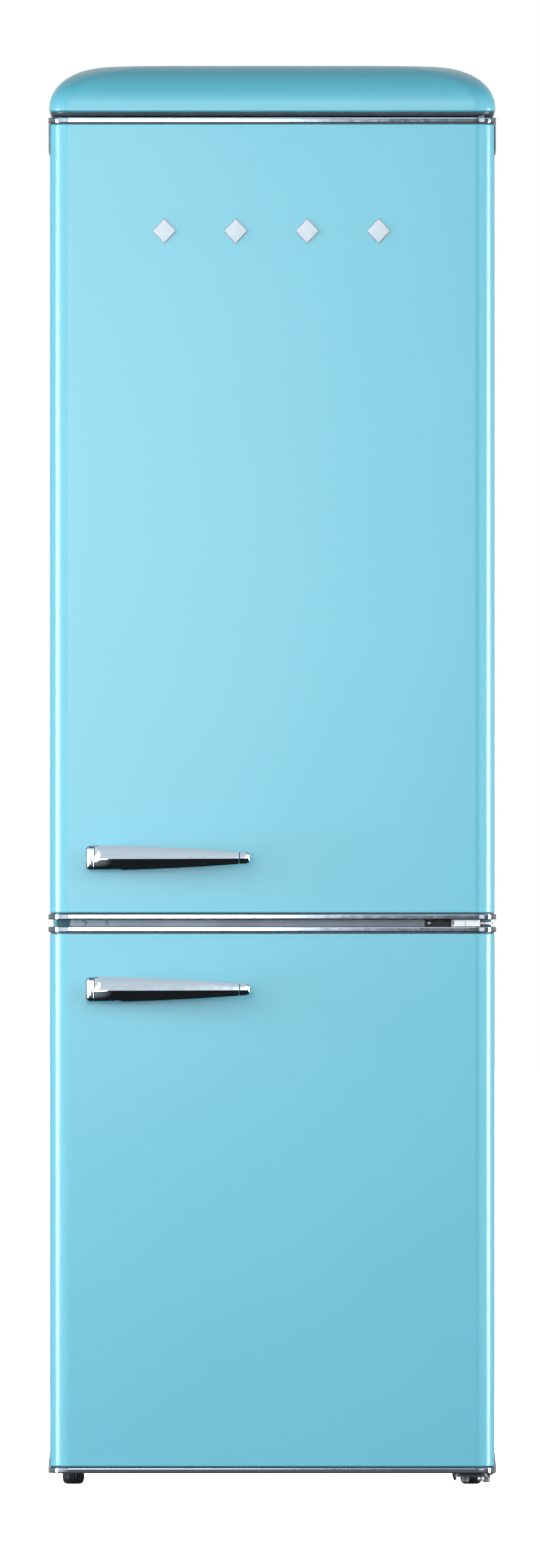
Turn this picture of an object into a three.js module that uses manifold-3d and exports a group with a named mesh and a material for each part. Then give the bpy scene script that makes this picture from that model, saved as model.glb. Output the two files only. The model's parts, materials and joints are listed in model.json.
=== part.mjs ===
// A free-standing retro refrigerator: a tall fridge door above a freezer door, under a domed roof.
// Units are millimetres. The origin is on the floor under the middle of the object.
// +X is the right-hand side seen from the front, the front faces -Y, and +Z is up.
// Both doors are hinged on the right. Touching pieces keep a gap of TOUCH.
import * as THREE from "three";
import { mergeVertices } from "three/addons/utils/BufferGeometryUtils.js";
import Module from "manifold-3d";

const wasm = await Module();
wasm.setup();

// ---- Driving dimensions ----------------------------------------------------------------------

const DEPTH = 640; // handle faces to wall spacers
const HEIGHT = 1750;
const DOOR_WIDTH = 548;
const TRIM_PROUD = 2; // the trims' bead stands this far out of the door skin, so the whole is 552 wide
const CABINET_WIDTH = 540;

const HANDLE_PROUD = 46; // handle face to door face
const DOOR_THICKNESS = 58;
const SEAL_SPACE = 12; // door liner to cabinet front
const SPACER_PROUD = 20; // back panel to wall

const LOWER_DOOR = [15, 688]; // bottom and top, over the trims
const UPPER_DOOR = [697, 1685];
const TRIM_HEIGHT = 8;
const EDGE_RADIUS = 25; // the doors' upright front edges

const SHEET = 1.2; // steel sheet
const LINER = 1.7; // vacuum-formed plastic liner
const TOUCH = 0.3;

// ---- Places worked out from them -------------------------------------------------------------

const DOOR_FACE = -DEPTH / 2 + HANDLE_PROUD;
const DOOR_REAR = DOOR_FACE + DOOR_THICKNESS;
const CABINET_FRONT = DOOR_REAR + SEAL_SPACE;
const CABINET_BACK = DEPTH / 2 - SPACER_PROUD;
const CABINET_Z = [20, 1692];
const FLANGE = 20; // width of the case's front flange beside the openings

const HINGE_X = DOOR_WIDTH / 2 - 17;
const HINGE_Y = DOOR_FACE + 24;
const PIN_RADIUS = 4;

// The two compartments. The compressor bay takes the lower back corner of the freezer.
const CAVITY_X = 225;
const CAVITY_BACK = 248;
const FRIDGE_Z = [724, 1640];
const FREEZER_Z = [72, 660];
const BAY = { half: 258, y: 108, top: 252 }; // the bay lies behind y and below top
const BAY_WALL = 43; // insulation between the bay and the freezer
const STEP = { y: BAY.y - BAY_WALL, z: BAY.top + BAY_WALL };

const SHELF_HEIGHTS = [1100, 1290, 1470]; // undersides of the glass
const CRISPER_COVER_Z = 905;
const GLASS = 4;
const SHELF_FRONT = -95;
const DRAWER_HALF = 202;
const RUNNER = 5;

const FOOT = { x: [-245.5, 245.5], y: -167, radius: 13.5, height: 16 };
const ROLLER = { y: 255, radius: 18, width: 20, bore: 3.3 };
const FAN = { y: 168, z: 590, radius: 46 };

// ---- Materials -------------------------------------------------------------------------------

function finish(color, roughness, metalness = 0, opacity = 1) {
  const transparent = opacity < 1;
  return new THREE.MeshStandardMaterial({ color, roughness, metalness, opacity, transparent });
}

const enamel = finish("#8fd1e4", 0.22);
const chrome = finish("#cdd4dc", 0.08, 1);
const silver = finish("#e4ecf0", 0.3, 0.6);
const whitePlastic = finish("#eef1f1", 0.35);
const foam = finish("#e6d9a8", 0.9);
const sealRubber = finish("#d5d9da", 0.7);
const glass = finish("#d3e6e2", 0.05, 0, 0.35);
const clearPlastic = finish("#dbe8ee", 0.15, 0, 0.5);
const greyPlastic = finish("#6a737d", 0.45);
const blackPlastic = finish("#1b1d22", 0.5);
const blackSteel = finish("#222428", 0.45, 0.4);
const zincSteel = finish("#a6acb3", 0.35, 0.9);
const aluminium = finish("#c3c7c9", 0.3, 0.9);

// ---- Solids ----------------------------------------------------------------------------------

// A manifold-3d solid of a closed three.js geometry, with its faces turned to point out.
function solidOf(geometry) {
  const bare = new THREE.BufferGeometry().setAttribute("position", geometry.getAttribute("position"));
  bare.setIndex(geometry.index);
  const merged = mergeVertices(bare, 1e-4);
  const index = merged.index.array;
  const make = (order) => {
    const triVerts = [];
    for (let i = 0; i < index.length; i += 3) {
      const [a, b, c] = order.map((k) => index[i + k]);
      if (a !== b && b !== c && c !== a) triVerts.push(a, b, c);
    }
    const mesh = new wasm.Mesh({
      numProp: 3,
      vertProperties: new Float32Array(merged.getAttribute("position").array),
      triVerts: new Uint32Array(triVerts),
    });
    return new wasm.Manifold(mesh);
  };
  const solid = make([0, 1, 2]);
  return solid.volume() > 0 ? solid : make([0, 2, 1]);
}

function geometryOf(solid) {
  const { numVert, numProp, vertProperties, triVerts } = solid.getMesh();
  const position = new Float32Array(numVert * 3);
  for (let i = 0; i < numVert; i++) {
    position.set(vertProperties.subarray(i * numProp, i * numProp + 3), i * 3);
  }
  const geometry = new THREE.BufferGeometry();
  geometry.setAttribute("position", new THREE.BufferAttribute(position, 3));
  geometry.setIndex(new THREE.BufferAttribute(new Uint32Array(triVerts), 1));
  geometry.computeVertexNormals();
  return geometry;
}

// A span centred on a place, as [low, high].
const span = (halfWidth, middle = 0) => [middle - halfWidth, middle + halfWidth];
const grown = ([low, high], by) => [low - by, high + by];
const join = (first, ...others) => others.reduce((sum, next) => sum.add(next), first);
const cut = (first, ...others) => others.reduce((rest, next) => rest.subtract(next), first);

// A box from three [low, high] spans.
function block([x0, x1], [y0, y1], [z0, z1]) {
  const box = new THREE.BoxGeometry(x1 - x0, y1 - y0, z1 - z0);
  return solidOf(box.translate((x0 + x1) / 2, (y0 + y1) / 2, (z0 + z1) / 2));
}

// A rectangle with its own radius at each corner, in the order low-low, high-low, high-high, low-high.
function outline([u0, u1], [v0, v1], radii) {
  const [a, b, c, d] = Array.isArray(radii) ? radii : [radii, radii, radii, radii];
  const shape = new THREE.Shape();
  shape.moveTo(u0 + a, v0).lineTo(u1 - b, v0);
  if (b) shape.absarc(u1 - b, v0 + b, b, -Math.PI / 2, 0);
  shape.lineTo(u1, v1 - c);
  if (c) shape.absarc(u1 - c, v1 - c, c, 0, Math.PI / 2);
  shape.lineTo(u0 + d, v1);
  if (d) shape.absarc(u0 + d, v1 - d, d, Math.PI / 2, Math.PI);
  shape.lineTo(u0, v0 + a);
  if (a) shape.absarc(u0 + a, v0 + a, a, Math.PI, 1.5 * Math.PI);
  return shape;
}

const polygon = (points) => new THREE.Shape(points.map(([u, v]) => new THREE.Vector2(u, v)));

// A shape drawn in the two other axes, (x, y), (x, z) or (y, z), and drawn out along one axis.
function prism(shape, [from, to], axis = "z", curveSegments = 6) {
  const drawn = new THREE.ExtrudeGeometry(shape, { depth: to - from, bevelEnabled: false, curveSegments });
  if (axis === "z") drawn.translate(0, 0, from);
  if (axis === "y") drawn.rotateX(Math.PI / 2).translate(0, to, 0);
  if (axis === "x") {
    const [x, y, z] = [[1, 0, 0], [0, 1, 0], [0, 0, 1]].map((v) => new THREE.Vector3(...v));
    drawn.applyMatrix4(new THREE.Matrix4().makeBasis(y, z, x)).translate(from, 0, 0);
  }
  return solidOf(drawn);
}

// A round bar along one axis. The two places are its other coordinates, in x, y, z order.
function rod(radius, [u, v], along, axis = "z", sides = 16) {
  return prism(new THREE.Shape().absarc(u, v, radius, 0, 2 * Math.PI), along, axis, sides);
}

// A profile of [radius, height] pairs turned about Z, or about the given axis, at a place.
function turned(profile, place, axis = "z", segments = 24) {
  const lathe = new THREE.LatheGeometry(profile.map(([r, h]) => new THREE.Vector2(r, h)), segments);
  if (axis === "z") lathe.rotateX(Math.PI / 2);
  if (axis === "x") lathe.rotateZ(-Math.PI / 2);
  return solidOf(lathe.translate(...place));
}

// A closed skin over rings of points that have the same count, each end closed by a fan.
function loft(rings) {
  const count = rings[0].length;
  const points = rings.flat();
  const index = [];
  rings.slice(1).forEach((_, level) => {
    for (let i = 0; i < count; i++) {
      const [a, b] = [level * count + i, level * count + ((i + 1) % count)];
      index.push(a, b, b + count, a, b + count, a + count);
    }
  });
  const fan = (ring, base, flipped) => {
    const middle = ring.reduce((sum, p) => sum.add(p), new THREE.Vector3()).divideScalar(count);
    points.push(middle);
    for (let i = 0; i < count; i++) {
      const [a, b] = [base + i, base + ((i + 1) % count)];
      index.push(points.length - 1, ...(flipped ? [b, a] : [a, b]));
    }
  };
  fan(rings[0], 0, true);
  fan(rings.at(-1), (rings.length - 1) * count, false);
  return solidOf(new THREE.BufferGeometry().setFromPoints(points).setIndex(index));
}

// The points of an outline as one level ring, with no point twice.
function levelRing(shape, z, curveSegments) {
  const flat = shape.getPoints(curveSegments);
  const kept = flat.filter((p, i) => p.distanceTo(flat[(i + 1) % flat.length]) > 1e-6);
  return kept.map((p) => new THREE.Vector3(p.x, p.y, z));
}

function piece(parent, name, solid, material, place = [0, 0, 0]) {
  const mesh = new THREE.Mesh(geometryOf(solid), material);
  mesh.name = name;
  mesh.position.set(...place);
  parent.add(mesh);
}

const refrigerator = new THREE.Group();

function assembly(parent = refrigerator, place = [0, 0, 0]) {
  const group = new THREE.Group();
  group.position.set(...place);
  parent.add(group);
  return group;
}

// ---- Cabinet ---------------------------------------------------------------------------------

const CASE_HALF = CABINET_WIDTH / 2;
const INNER_HALF = CASE_HALF - SHEET - TOUCH;
const OPENING_HALF = CASE_HALF - FLANGE;
const OPENING_Z = [55, 1655];
const FOAM_FRONT = CABINET_FRONT + SHEET + 2 * TOUCH;
const LINER_FRONT = [CABINET_FRONT, FOAM_FRONT - TOUCH];
const MULLION_Z = [FREEZER_Z[1] + LINER + TOUCH, FRIDGE_Z[0] - LINER - TOUCH];

// The freezer's side outline, with a step over the compressor bay, grown by an amount.
function freezerSide(by, front) {
  return polygon([
    [front, FREEZER_Z[0] - by],
    [STEP.y + by, FREEZER_Z[0] - by],
    [STEP.y + by, STEP.z - by],
    [CAVITY_BACK + by, STEP.z - by],
    [CAVITY_BACK + by, FREEZER_Z[1] + by],
    [front, FREEZER_Z[1] + by],
  ]);
}

const CAVITY_RADIUS = 18;
const fridgeFront = (by) => outline(span(CAVITY_X + by), grown(FRIDGE_Z, by), CAVITY_RADIUS + by);
const footWells = (radius, z) => FOOT.x.map((x) => rod(radius, [x, FOOT.y], z));

// Painted steel wrapped round the sides and the top, with a flange turned in at the front.
function cabinetCase() {
  const outside = block(span(CASE_HALF), [CABINET_FRONT, CABINET_BACK], CABINET_Z);
  const insideZ = [CABINET_Z[0] - 1, CABINET_Z[1] - SHEET];
  const inside = block(span(CASE_HALF - SHEET), [CABINET_FRONT + SHEET, CABINET_BACK + 1], insideZ);
  return cut(outside, inside, block(span(OPENING_HALF), span(SHEET + 1, CABINET_FRONT), OPENING_Z));
}

function cabinetInsulation() {
  const backPanel = CABINET_BACK - SHEET - TOUCH;
  const foamZ = [CABINET_Z[0] + 2, CABINET_Z[1] - SHEET - TOUCH];
  const gap = LINER + TOUCH;
  return cut(
    block(span(INNER_HALF), [FOAM_FRONT, backPanel], foamZ),
    prism(fridgeFront(gap), [FOAM_FRONT - 1, CAVITY_BACK + gap], "y"),
    prism(freezerSide(gap, FOAM_FRONT - 1), span(CAVITY_X + gap), "x"),
    block(span(BAY.half), [BAY.y, CABINET_BACK], [0, BAY.top]),
    ...footWells(6, [0, 48]),
  );
}

// Ledges on both side walls, from their inner edge out into the wall.
function ledges(inner, y, heights, thickness) {
  const out = CAVITY_X + 1;
  return heights.flatMap((top) => [
    block([inner, out], y, [top - thickness, top]),
    block([-out, -inner], y, [top - thickness, top]),
  ]);
}

function fridgeLiner() {
  const lipZ = [FRIDGE_Z[0] - LINER, OPENING_Z[1] - TOUCH];
  return cut(
    join(
      prism(fridgeFront(LINER), [CABINET_FRONT + 0.5, CAVITY_BACK + LINER], "y"),
      block(span(OPENING_HALF - TOUCH), LINER_FRONT, lipZ),
    ),
    prism(fridgeFront(0), [CABINET_FRONT - 1, CAVITY_BACK], "y"),
  ).add(join(...ledges(CAVITY_X - 8, [-90, 215], [...SHELF_HEIGHTS, CRISPER_COVER_Z], 4)));
}

const FREEZER_RUNNERS = [299.7, 475.7];

function freezerLiner() {
  const lipZ = [OPENING_Z[0] + TOUCH, FREEZER_Z[1] + LINER];
  return cut(
    join(
      prism(freezerSide(LINER, CABINET_FRONT + 0.5), span(CAVITY_X + LINER), "x"),
      block(span(OPENING_HALF - TOUCH), LINER_FRONT, lipZ),
    ),
    prism(freezerSide(0, CABINET_FRONT - 1), span(CAVITY_X), "x"),
  ).add(join(...ledges(190, [-170, 150], FREEZER_RUNNERS, RUNNER)));
}

// The strip between the two openings, with two plugs over spare hinge holes on the left.
function mullionCover() {
  const strip = block(span(OPENING_HALF - TOUCH), LINER_FRONT, MULLION_Z);
  const plugs = [-232, -205].map((x) => rod(3.2, [x, 692.5], span(1, CABINET_FRONT), "y", 6));
  return join(strip, ...plugs);
}

function backPanel() {
  const z = [BAY.top + TOUCH, CABINET_Z[1] - SHEET - TOUCH];
  return block(span(INNER_HALF), [CABINET_BACK - SHEET, CABINET_BACK], z);
}

// The pressed floor of the cabinet, with ears and an axle for each rear roller.
function basePlate() {
  const [low, high] = [CABINET_Z[0], CABINET_Z[0] + 1.5];
  const y = [CABINET_FRONT + SHEET + TOUCH, CABINET_BACK - 2];
  const sheet = block(span(INNER_HALF), y, [low, high]);
  const turnedUp = block(span(BAY.half - TOUCH), [y[1] - 1.5, y[1]], [low, 40]);
  const slots = FOOT.x.map((x) => block(span(10.7, x), span(20, ROLLER.y), [low - 1, high + 1]));
  const ears = FOOT.x.flatMap((x) =>
    [-12, 12].map((out) => block(span(1, x + out), span(10, ROLLER.y), [12, low + 1])),
  );
  const axles = FOOT.x.map((x) => rod(3, [ROLLER.y, ROLLER.radius], span(12.5, x), "x", 10));
  return join(cut(sheet, ...slots, ...footWells(4.6, [low - 1, high + 1])), turnedUp, ...ears, ...axles);
}

// ---- Roof ------------------------------------------------------------------------------------

const ROOF = { rim: 1689, shoulder: 1694, half: 275, front: DOOR_FACE - 2, back: 303, wall: 3 };
const DOME = { inset: 86, power: 2.2, corner: 27, levels: 10 };

// One level of the roof: its sides and front drawn in by an inset, its back upright.
function roofRing(inset, z) {
  const corner = DOME.corner + 0.6 * inset;
  const shape = outline(span(ROOF.half - inset), [ROOF.front + inset, ROOF.back], [corner, corner, 4, 4]);
  return levelRing(shape, z, 7);
}

// The dome's section is a superellipse from the shoulder up to the flat top.
function roofDome(foot, wall) {
  const rise = HEIGHT - wall - ROOF.shoulder;
  const rings = [];
  for (let i = 0; i <= DOME.levels; i++) {
    const angle = (i / DOME.levels) * (Math.PI / 2);
    const inset = wall + DOME.inset * (1 - Math.cos(angle) ** (2 / DOME.power));
    rings.push(roofRing(inset, ROOF.shoulder + rise * Math.sin(angle) ** (2 / DOME.power)));
  }
  return loft([...foot, ...rings]);
}

function roofCover() {
  const outside = roofDome([roofRing(1.6, ROOF.rim), roofRing(0.4, ROOF.rim + 2)], 0);
  const inside = cut(
    roofDome([roofRing(ROOF.wall, ROOF.rim - 1)], ROOF.wall),
    block(span(ROOF.half), [ROOF.back - ROOF.wall + TOUCH, ROOF.back + 1], [ROOF.rim - 2, HEIGHT]),
  );
  const ribZ = [CABINET_Z[1] + TOUCH, HEIGHT];
  const ribs = [-150, 0, 150].map((x) => block(span(1.5, x), [-190, 290], ribZ).intersect(outside));
  return join(cut(outside, inside), ...ribs);
}

// The dark tray that closes the roof's overhang above the upper door.
function roofSoffit() {
  const gap = ROOF.wall + TOUCH + 0.4;
  const corner = DOME.corner + 0.6 * gap;
  const y = [ROOF.front + gap, CABINET_FRONT - TOUCH];
  const plan = outline(span(ROOF.half - gap), y, [corner, corner, 0, 0]);
  const tray = prism(plan, [ROOF.rim + 0.5, ROOF.rim + 2.5]);
  return cut(tray, rod(8, [HINGE_X, HINGE_Y], [ROOF.rim, ROOF.rim + 4]));
}

// ---- Inside the fridge and the freezer -------------------------------------------------------

function buildShelves(parent) {
  const pane = [span(CAVITY_X - 4), [SHELF_FRONT, 215]];
  const paneSolid = (by) => block(grown(pane[0], by), grown(pane[1], by), [TOUCH - by, TOUCH + GLASS + by]);
  const rail = block(span(CAVITY_X - 10), [SHELF_FRONT - 12, SHELF_FRONT + 8], [-5, 12]);
  SHELF_HEIGHTS.forEach((height, i) => {
    const shelf = assembly(parent, [0, 0, height]);
    piece(shelf, `glass_shelf_${i + 1}`, paneSolid(0), glass);
    piece(shelf, `shelf_rail_${i + 1}`, cut(rail, paneSolid(TOUCH)), whitePlastic);
  });
  piece(parent, "crisper_cover", paneSolid(0), glass, [0, 0, CRISPER_COVER_Z]);
}

const CONTROL = { half: 110, y: [-198, 40], z: [1608, FRIDGE_Z[1] - TOUCH], knobX: 60, plungerX: -60 };
const CONTROL_MIDDLE = (CONTROL.z[0] + CONTROL.z[1]) / 2;

function controlBox() {
  const wall = 2.5;
  const front = CONTROL.y[0];
  return cut(
    block(span(CONTROL.half), CONTROL.y, CONTROL.z),
    block(span(CONTROL.half - wall), grown(CONTROL.y, -wall), [CONTROL.z[0] + wall, CONTROL.z[1] + 1]),
    rod(3.4, [CONTROL.knobX, CONTROL_MIDDLE], [front - 1, front + 5], "y", 8),
    rod(4.4, [CONTROL.plungerX, CONTROL_MIDDLE], [front - 1, front + 5], "y", 8),
  );
}

// An open tray with walls of one thickness. Its spans are its outside.
function openTray(x, y, z, wall, floor = wall) {
  return cut(block(x, y, z), block(grown(x, -wall), grown(y, -wall), [z[0] + floor, z[1] + 1]));
}

// A slide-out drawer with a finger lip along the middle of its front.
function drawer(parent, name, [front, back], [low, high]) {
  const tray = openTray(span(DRAWER_HALF), [front, back], [low, high], 3);
  const lip = block(span(80), [front - 8, front + 1], [high - 16, high - 12]);
  piece(parent, name, join(tray, lip), clearPlastic);
}

// The motor behind the fan, on two crossed arms whose four ends stand on the cover's back.
function fanMotor(coverBack) {
  const { y, z, radius } = FAN;
  const [reach, arms, posts] = [radius + 12, [y + 9.5, y + 12.5], [coverBack - 1, y + 12.5]];
  return join(
    rod(15, [0, z], [y + 7.5, y + 30], "y", 16),
    block(span(reach), arms, span(4, z)),
    block(span(4), arms, span(reach, z)),
    ...[-1, 1].map((side) => block(span(3, side * (reach - 3)), posts, span(4, z))),
    ...[-1, 1].map((side) => block(span(4), posts, span(3, z + side * (reach - 3)))),
  );
}

// The sheet in front of the evaporator, with slots for the returning air and a hole for the fan.
function freezerAirCover() {
  const y = [FAN.y - 2, FAN.y + 1.5];
  const slots = [0, 1, 2, 3].map((row) => block(span(150), [y[0] - 1, y[1] + 1], span(5, 320 + 26 * row)));
  const sheet = block(span(CAVITY_X - 1), y, [STEP.z + 1, FREEZER_Z[1] - 1]);
  const hole = rod(FAN.radius + 6, [0, FAN.z], [y[0] - 1, y[1] + 1], "y", 24);
  return join(cut(sheet, hole, ...slots), fanMotor(y[1]));
}

// Upright fins on crossing tubes.
function evaporator() {
  const fins = Array.from({ length: 9 }, (_, i) => block(span(1, -180 + 45 * i), [182, 236], [315, 515]));
  const tubes = [345, 395, 445, 495].map((z) => block(span(195), span(4, 209), span(4, z)));
  return join(...fins, ...tubes);
}

// Five pitched blades on a hub, turned about Y.
function evaporatorFan() {
  const hub = turned([[0, -8], [14, -8], [15, -4], [15, 6], [0, 6]], [0, 0, 0], "y", 20);
  const blades = Array.from({ length: 5 }, (_, i) => {
    const blade = new THREE.BoxGeometry(FAN.radius - 12, 1.6, 24);
    blade.rotateX(0.5).translate((FAN.radius + 12) / 2, 0, 0);
    return solidOf(blade.rotateY((i / 5) * 2 * Math.PI));
  });
  return join(hub, ...blades);
}

function airDuct() {
  const y = [CAVITY_BACK - 9.7, CAVITY_BACK - TOUCH];
  const slots = [1020, 1200, 1380, 1540].flatMap((z) =>
    [-30, 30].map((x) => block(span(20, x), [y[0] - 1, y[0] + 6], span(6, z))),
  );
  return cut(block(span(70), y, [930, 1590]), ...slots);
}

// ---- Machinery -------------------------------------------------------------------------------

const COMPRESSOR = { x: 90, y: 205, radius: 72 };

// The sealed shell on a foot plate with four rubber mounts, and its start relay on the side.
function compressor() {
  const { x, y, radius } = COMPRESSOR;
  const seam = [[radius, 108], [radius + 4, 110], [radius + 4, 117], [radius, 119]];
  const dome = [[radius, 160], [64, 184], [44, 197], [20, 201], [0, 202]];
  const shell = [[0, 36], [58, 36], [70, 46], [radius, 60], ...seam, ...dome];
  const plate = block(span(85, x), span(62, y), [40, 43]);
  const mounts = [-74, 74].flatMap((dx) =>
    [-51, 51].map((dy) => rod(9, [x + dx, y + dy], [21.8, 44], "z", 6)),
  );
  const relay = block([x - radius - 28, x - radius + 10], span(24, y), [72, 138]);
  return join(turned(shell, [x, y, 0]), plate, relay, ...mounts);
}

const COIL = { half: 215, radius: 2.6, y: 309, bottom: 330, runs: 18, pitch: 70, sides: 6, bendSteps: 5 };

// The centreline of the condenser: level runs joined by half-round bends, in the plane y = COIL.y.
function coilPath() {
  const bend = COIL.pitch / 2;
  const path = [];
  for (let run = 0; run < COIL.runs; run++) {
    const side = run % 2 ? -1 : 1;
    const z = COIL.bottom + run * COIL.pitch;
    path.push([-side * (COIL.half - bend), z]);
    if (run === COIL.runs - 1) path.push([side * COIL.half, z]);
    else {
      for (let i = 0; i < COIL.bendSteps; i++) {
        const angle = (i / COIL.bendSteps) * Math.PI - Math.PI / 2;
        path.push([side * (COIL.half - bend + bend * Math.cos(angle)), z + bend + bend * Math.sin(angle)]);
      }
    }
  }
  return path.map(([x, z]) => new THREE.Vector3(x, COIL.y, z));
}

// The tube on two upright straps, each with two feet on the back panel and a spacer for the wall.
function condenser() {
  const path = coilPath();
  const out = new THREE.Vector3(0, 1, 0);
  const rings = path.map((point, i) => {
    const before = path[Math.max(i - 1, 0)];
    const after = path[Math.min(i + 1, path.length - 1)];
    const across = after.clone().sub(before).normalize().cross(out);
    return Array.from({ length: COIL.sides }, (_, k) => {
      const angle = (k / COIL.sides) * 2 * Math.PI;
      return point.clone()
        .addScaledVector(across, COIL.radius * Math.cos(angle))
        .addScaledVector(out, COIL.radius * Math.sin(angle));
    });
  });
  const strapY = [COIL.y + 1.5, COIL.y + 4];
  const top = COIL.bottom + (COIL.runs - 1) * COIL.pitch + 15;
  const straps = [-150, 150].flatMap((x) => [
    block(span(6, x), strapY, [COIL.bottom - 15, top]),
    block(span(6, x), [CABINET_BACK + TOUCH, strapY[1]], span(4, top - 3)),
    block(span(6, x), [CABINET_BACK + TOUCH, strapY[1]], span(4, COIL.bottom - 12)),
    block(span(6, x), [strapY[0], DEPTH / 2], span(9, top - 20)),
  ]);
  return join(loft(rings), ...straps);
}

// The terminal box with the gland that the mains lead would leave by.
function mainsInlet() {
  const [x, z] = [-195, 50];
  const box = block(span(35, x), [240, 288], [CABINET_Z[0] + 1.8, 78]);
  const gland = rod(8, [x, z], [287, CABINET_BACK + 4], "y", 8);
  return cut(join(box, gland), rod(3.6, [x, z], [270, CABINET_BACK + 5], "y", 6));
}

// ---- Hinges ----------------------------------------------------------------------------------

const hingePin = (z) => rod(PIN_RADIUS, [HINGE_X, HINGE_Y], z, "z", 10);
const TONGUE_FRONT = HINGE_Y - 12;

function topHinge() {
  const z = [CABINET_Z[1] + TOUCH, CABINET_Z[1] + TOUCH + 3];
  const plate = prism(outline([211, 268], [TONGUE_FRONT, -120], [12, 12, 4, 4]), z, "z", 3);
  return join(plate, hingePin([1662, z[1]]));
}

const GAP_MIDDLE = (LOWER_DOOR[1] + UPPER_DOOR[0]) / 2;

// An upright plate on the mullion and a tongue in the gap, with a pin up and a pin down.
function middleHinge() {
  const plan = outline([222, 272], [TONGUE_FRONT, -204.5], [12, 12, 0, 0]);
  const tongue = prism(plan, span(1.5, GAP_MIDDLE), "z", 3);
  const plate = block([187, 262], [CABINET_FRONT - 2 - TOUCH, CABINET_FRONT - TOUCH], span(9, GAP_MIDDLE));
  return join(tongue, plate, hingePin(span(22, GAP_MIDDLE)));
}

// A plastic clip round the tongue, which the doors turn on.
function hingeBush() {
  const clip = block([224, 256], [HINGE_Y - 23, HINGE_Y + 14], span(4, GAP_MIDDLE));
  const tongue = block([200, 280], [TONGUE_FRONT - TOUCH, 0], span(1.5 + TOUCH, GAP_MIDDLE));
  return cut(clip, tongue, rod(PIN_RADIUS + TOUCH, [HINGE_X, HINGE_Y], span(10, GAP_MIDDLE), "z", 10));
}

// A cranked bracket under the cabinet, with its pin, a stop ear, a tab and two hexagon bolt heads.
function bottomHinge() {
  const x = [222, 268];
  const [low, under] = [LOWER_DOOR[0] - 4.5, CABINET_Z[0] - TOUCH];
  const crank = -190;
  const tongue = prism(outline(x, [TONGUE_FRONT, crank], [12, 12, 0, 0]), [low, low + 2.5], "z", 3);
  const riser = block(x, [crank - 3, crank], [low, under]);
  const flange = block(x, [crank - 3, -148], [under - 3, under]);
  const earEnd = polygon([[258, low], [264, low], [273, low + 4], [269, low + 4]]);
  const ear = prism(earEnd, [-250, -215], "y");
  const tabEnd = polygon([[222, low + 1], [223.5, low - 4.5], [226, low - 4.5], [227.5, low + 1]]);
  const tab = prism(tabEnd, [-232, -229], "y");
  const bolts = [238, 264].map((bolt) => rod(5.5, [bolt, -215], [low - 8, low + 1], "z", 3));
  const [well] = footWells(4.6, [under - 4, under + 1]).slice(1);
  return join(cut(join(flange, riser), well), tongue, ear, tab, ...bolts, hingePin([low - 5, 40]));
}

// ---- Doors -----------------------------------------------------------------------------------

const DOOR_HALF = DOOR_WIDTH / 2;
const LINER_PLATE = [DOOR_REAR - 2.7, DOOR_REAR];
const SKIN_REAR = LINER_PLATE[0] - TOUCH;
const BADGE = { z: 1545, xs: [-133, -45, 42, 131], wide: 15, tall: 16 };

// The door's plan: round front corners, square at the back.
function doorPlan(inset, rear) {
  const corner = EDGE_RADIUS - inset;
  return outline(span(DOOR_HALF - inset), [DOOR_FACE + inset, rear], [corner, corner, 0, 0]);
}

// An end cap with a half-round chrome bead along its front and sides.
function trimCap() {
  const levels = 6;
  const rings = [];
  for (let i = 0; i <= levels; i++) {
    const t = i / levels;
    const proud = -0.8 + (TRIM_PROUD + 0.8) * Math.sqrt(1 - (2 * t - 1) ** 2);
    rings.push(levelRing(doorPlan(-proud, DOOR_REAR - TOUCH), t * TRIM_HEIGHT, 6));
  }
  return cut(loft(rings), rod(PIN_RADIUS + 0.6, [HINGE_X, HINGE_Y], [-1, TRIM_HEIGHT + 1], "z", 10));
}

// Short skirts that run from a cap's ends along the door's two sides.
function trimSkirts(z, taper) {
  const side = polygon([[-252, z[0]], [-226, z[0]], [-226 - taper, z[1]], [-252 + taper, z[1]]]);
  const [inner, outer] = [DOOR_HALF + TOUCH, DOOR_HALF + TRIM_PROUD];
  return join(prism(side, [inner, outer], "x"), prism(side, [-outer, -inner], "x"));
}

function doorSkin([low, high]) {
  const z = [low + TRIM_HEIGHT + TOUCH, high - TRIM_HEIGHT - TOUCH];
  return cut(prism(doorPlan(0, SKIN_REAR), z), prism(doorPlan(SHEET, 0), [z[0] - 1, z[1] + 1]));
}

function doorInsulation([low, high]) {
  const z = [low + TRIM_HEIGHT + TOUCH, high - TRIM_HEIGHT - TOUCH];
  const wells = [low, high].map((end) => rod(7, [HINGE_X, HINGE_Y], span(32, end), "z", 8));
  return cut(prism(doorPlan(SHEET + TOUCH, SKIN_REAR), z), ...wells);
}

function linerPlate([low, high]) {
  const z = [low + TRIM_HEIGHT + TOUCH, high - TRIM_HEIGHT - TOUCH];
  return block(span(DOOR_HALF - TOUCH), LINER_PLATE, z);
}

// The magnetic seal: one frame between the liner and the cabinet's front.
function gasket([low, high]) {
  const y = [DOOR_REAR + TOUCH, CABINET_FRONT - 2.5];
  return cut(block(span(258), y, [low, high]), block(span(242), grown(y, 1), [low + 16, high - 16]));
}

const BINS = [{ z: [742, 852] }, { z: [1062, 1150] }, { z: [1350, 1430] }];
const BIN_HALF = 185.5;
const DYKE = { x: [186, 210], back: -150, z: [735, 1600] };

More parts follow.
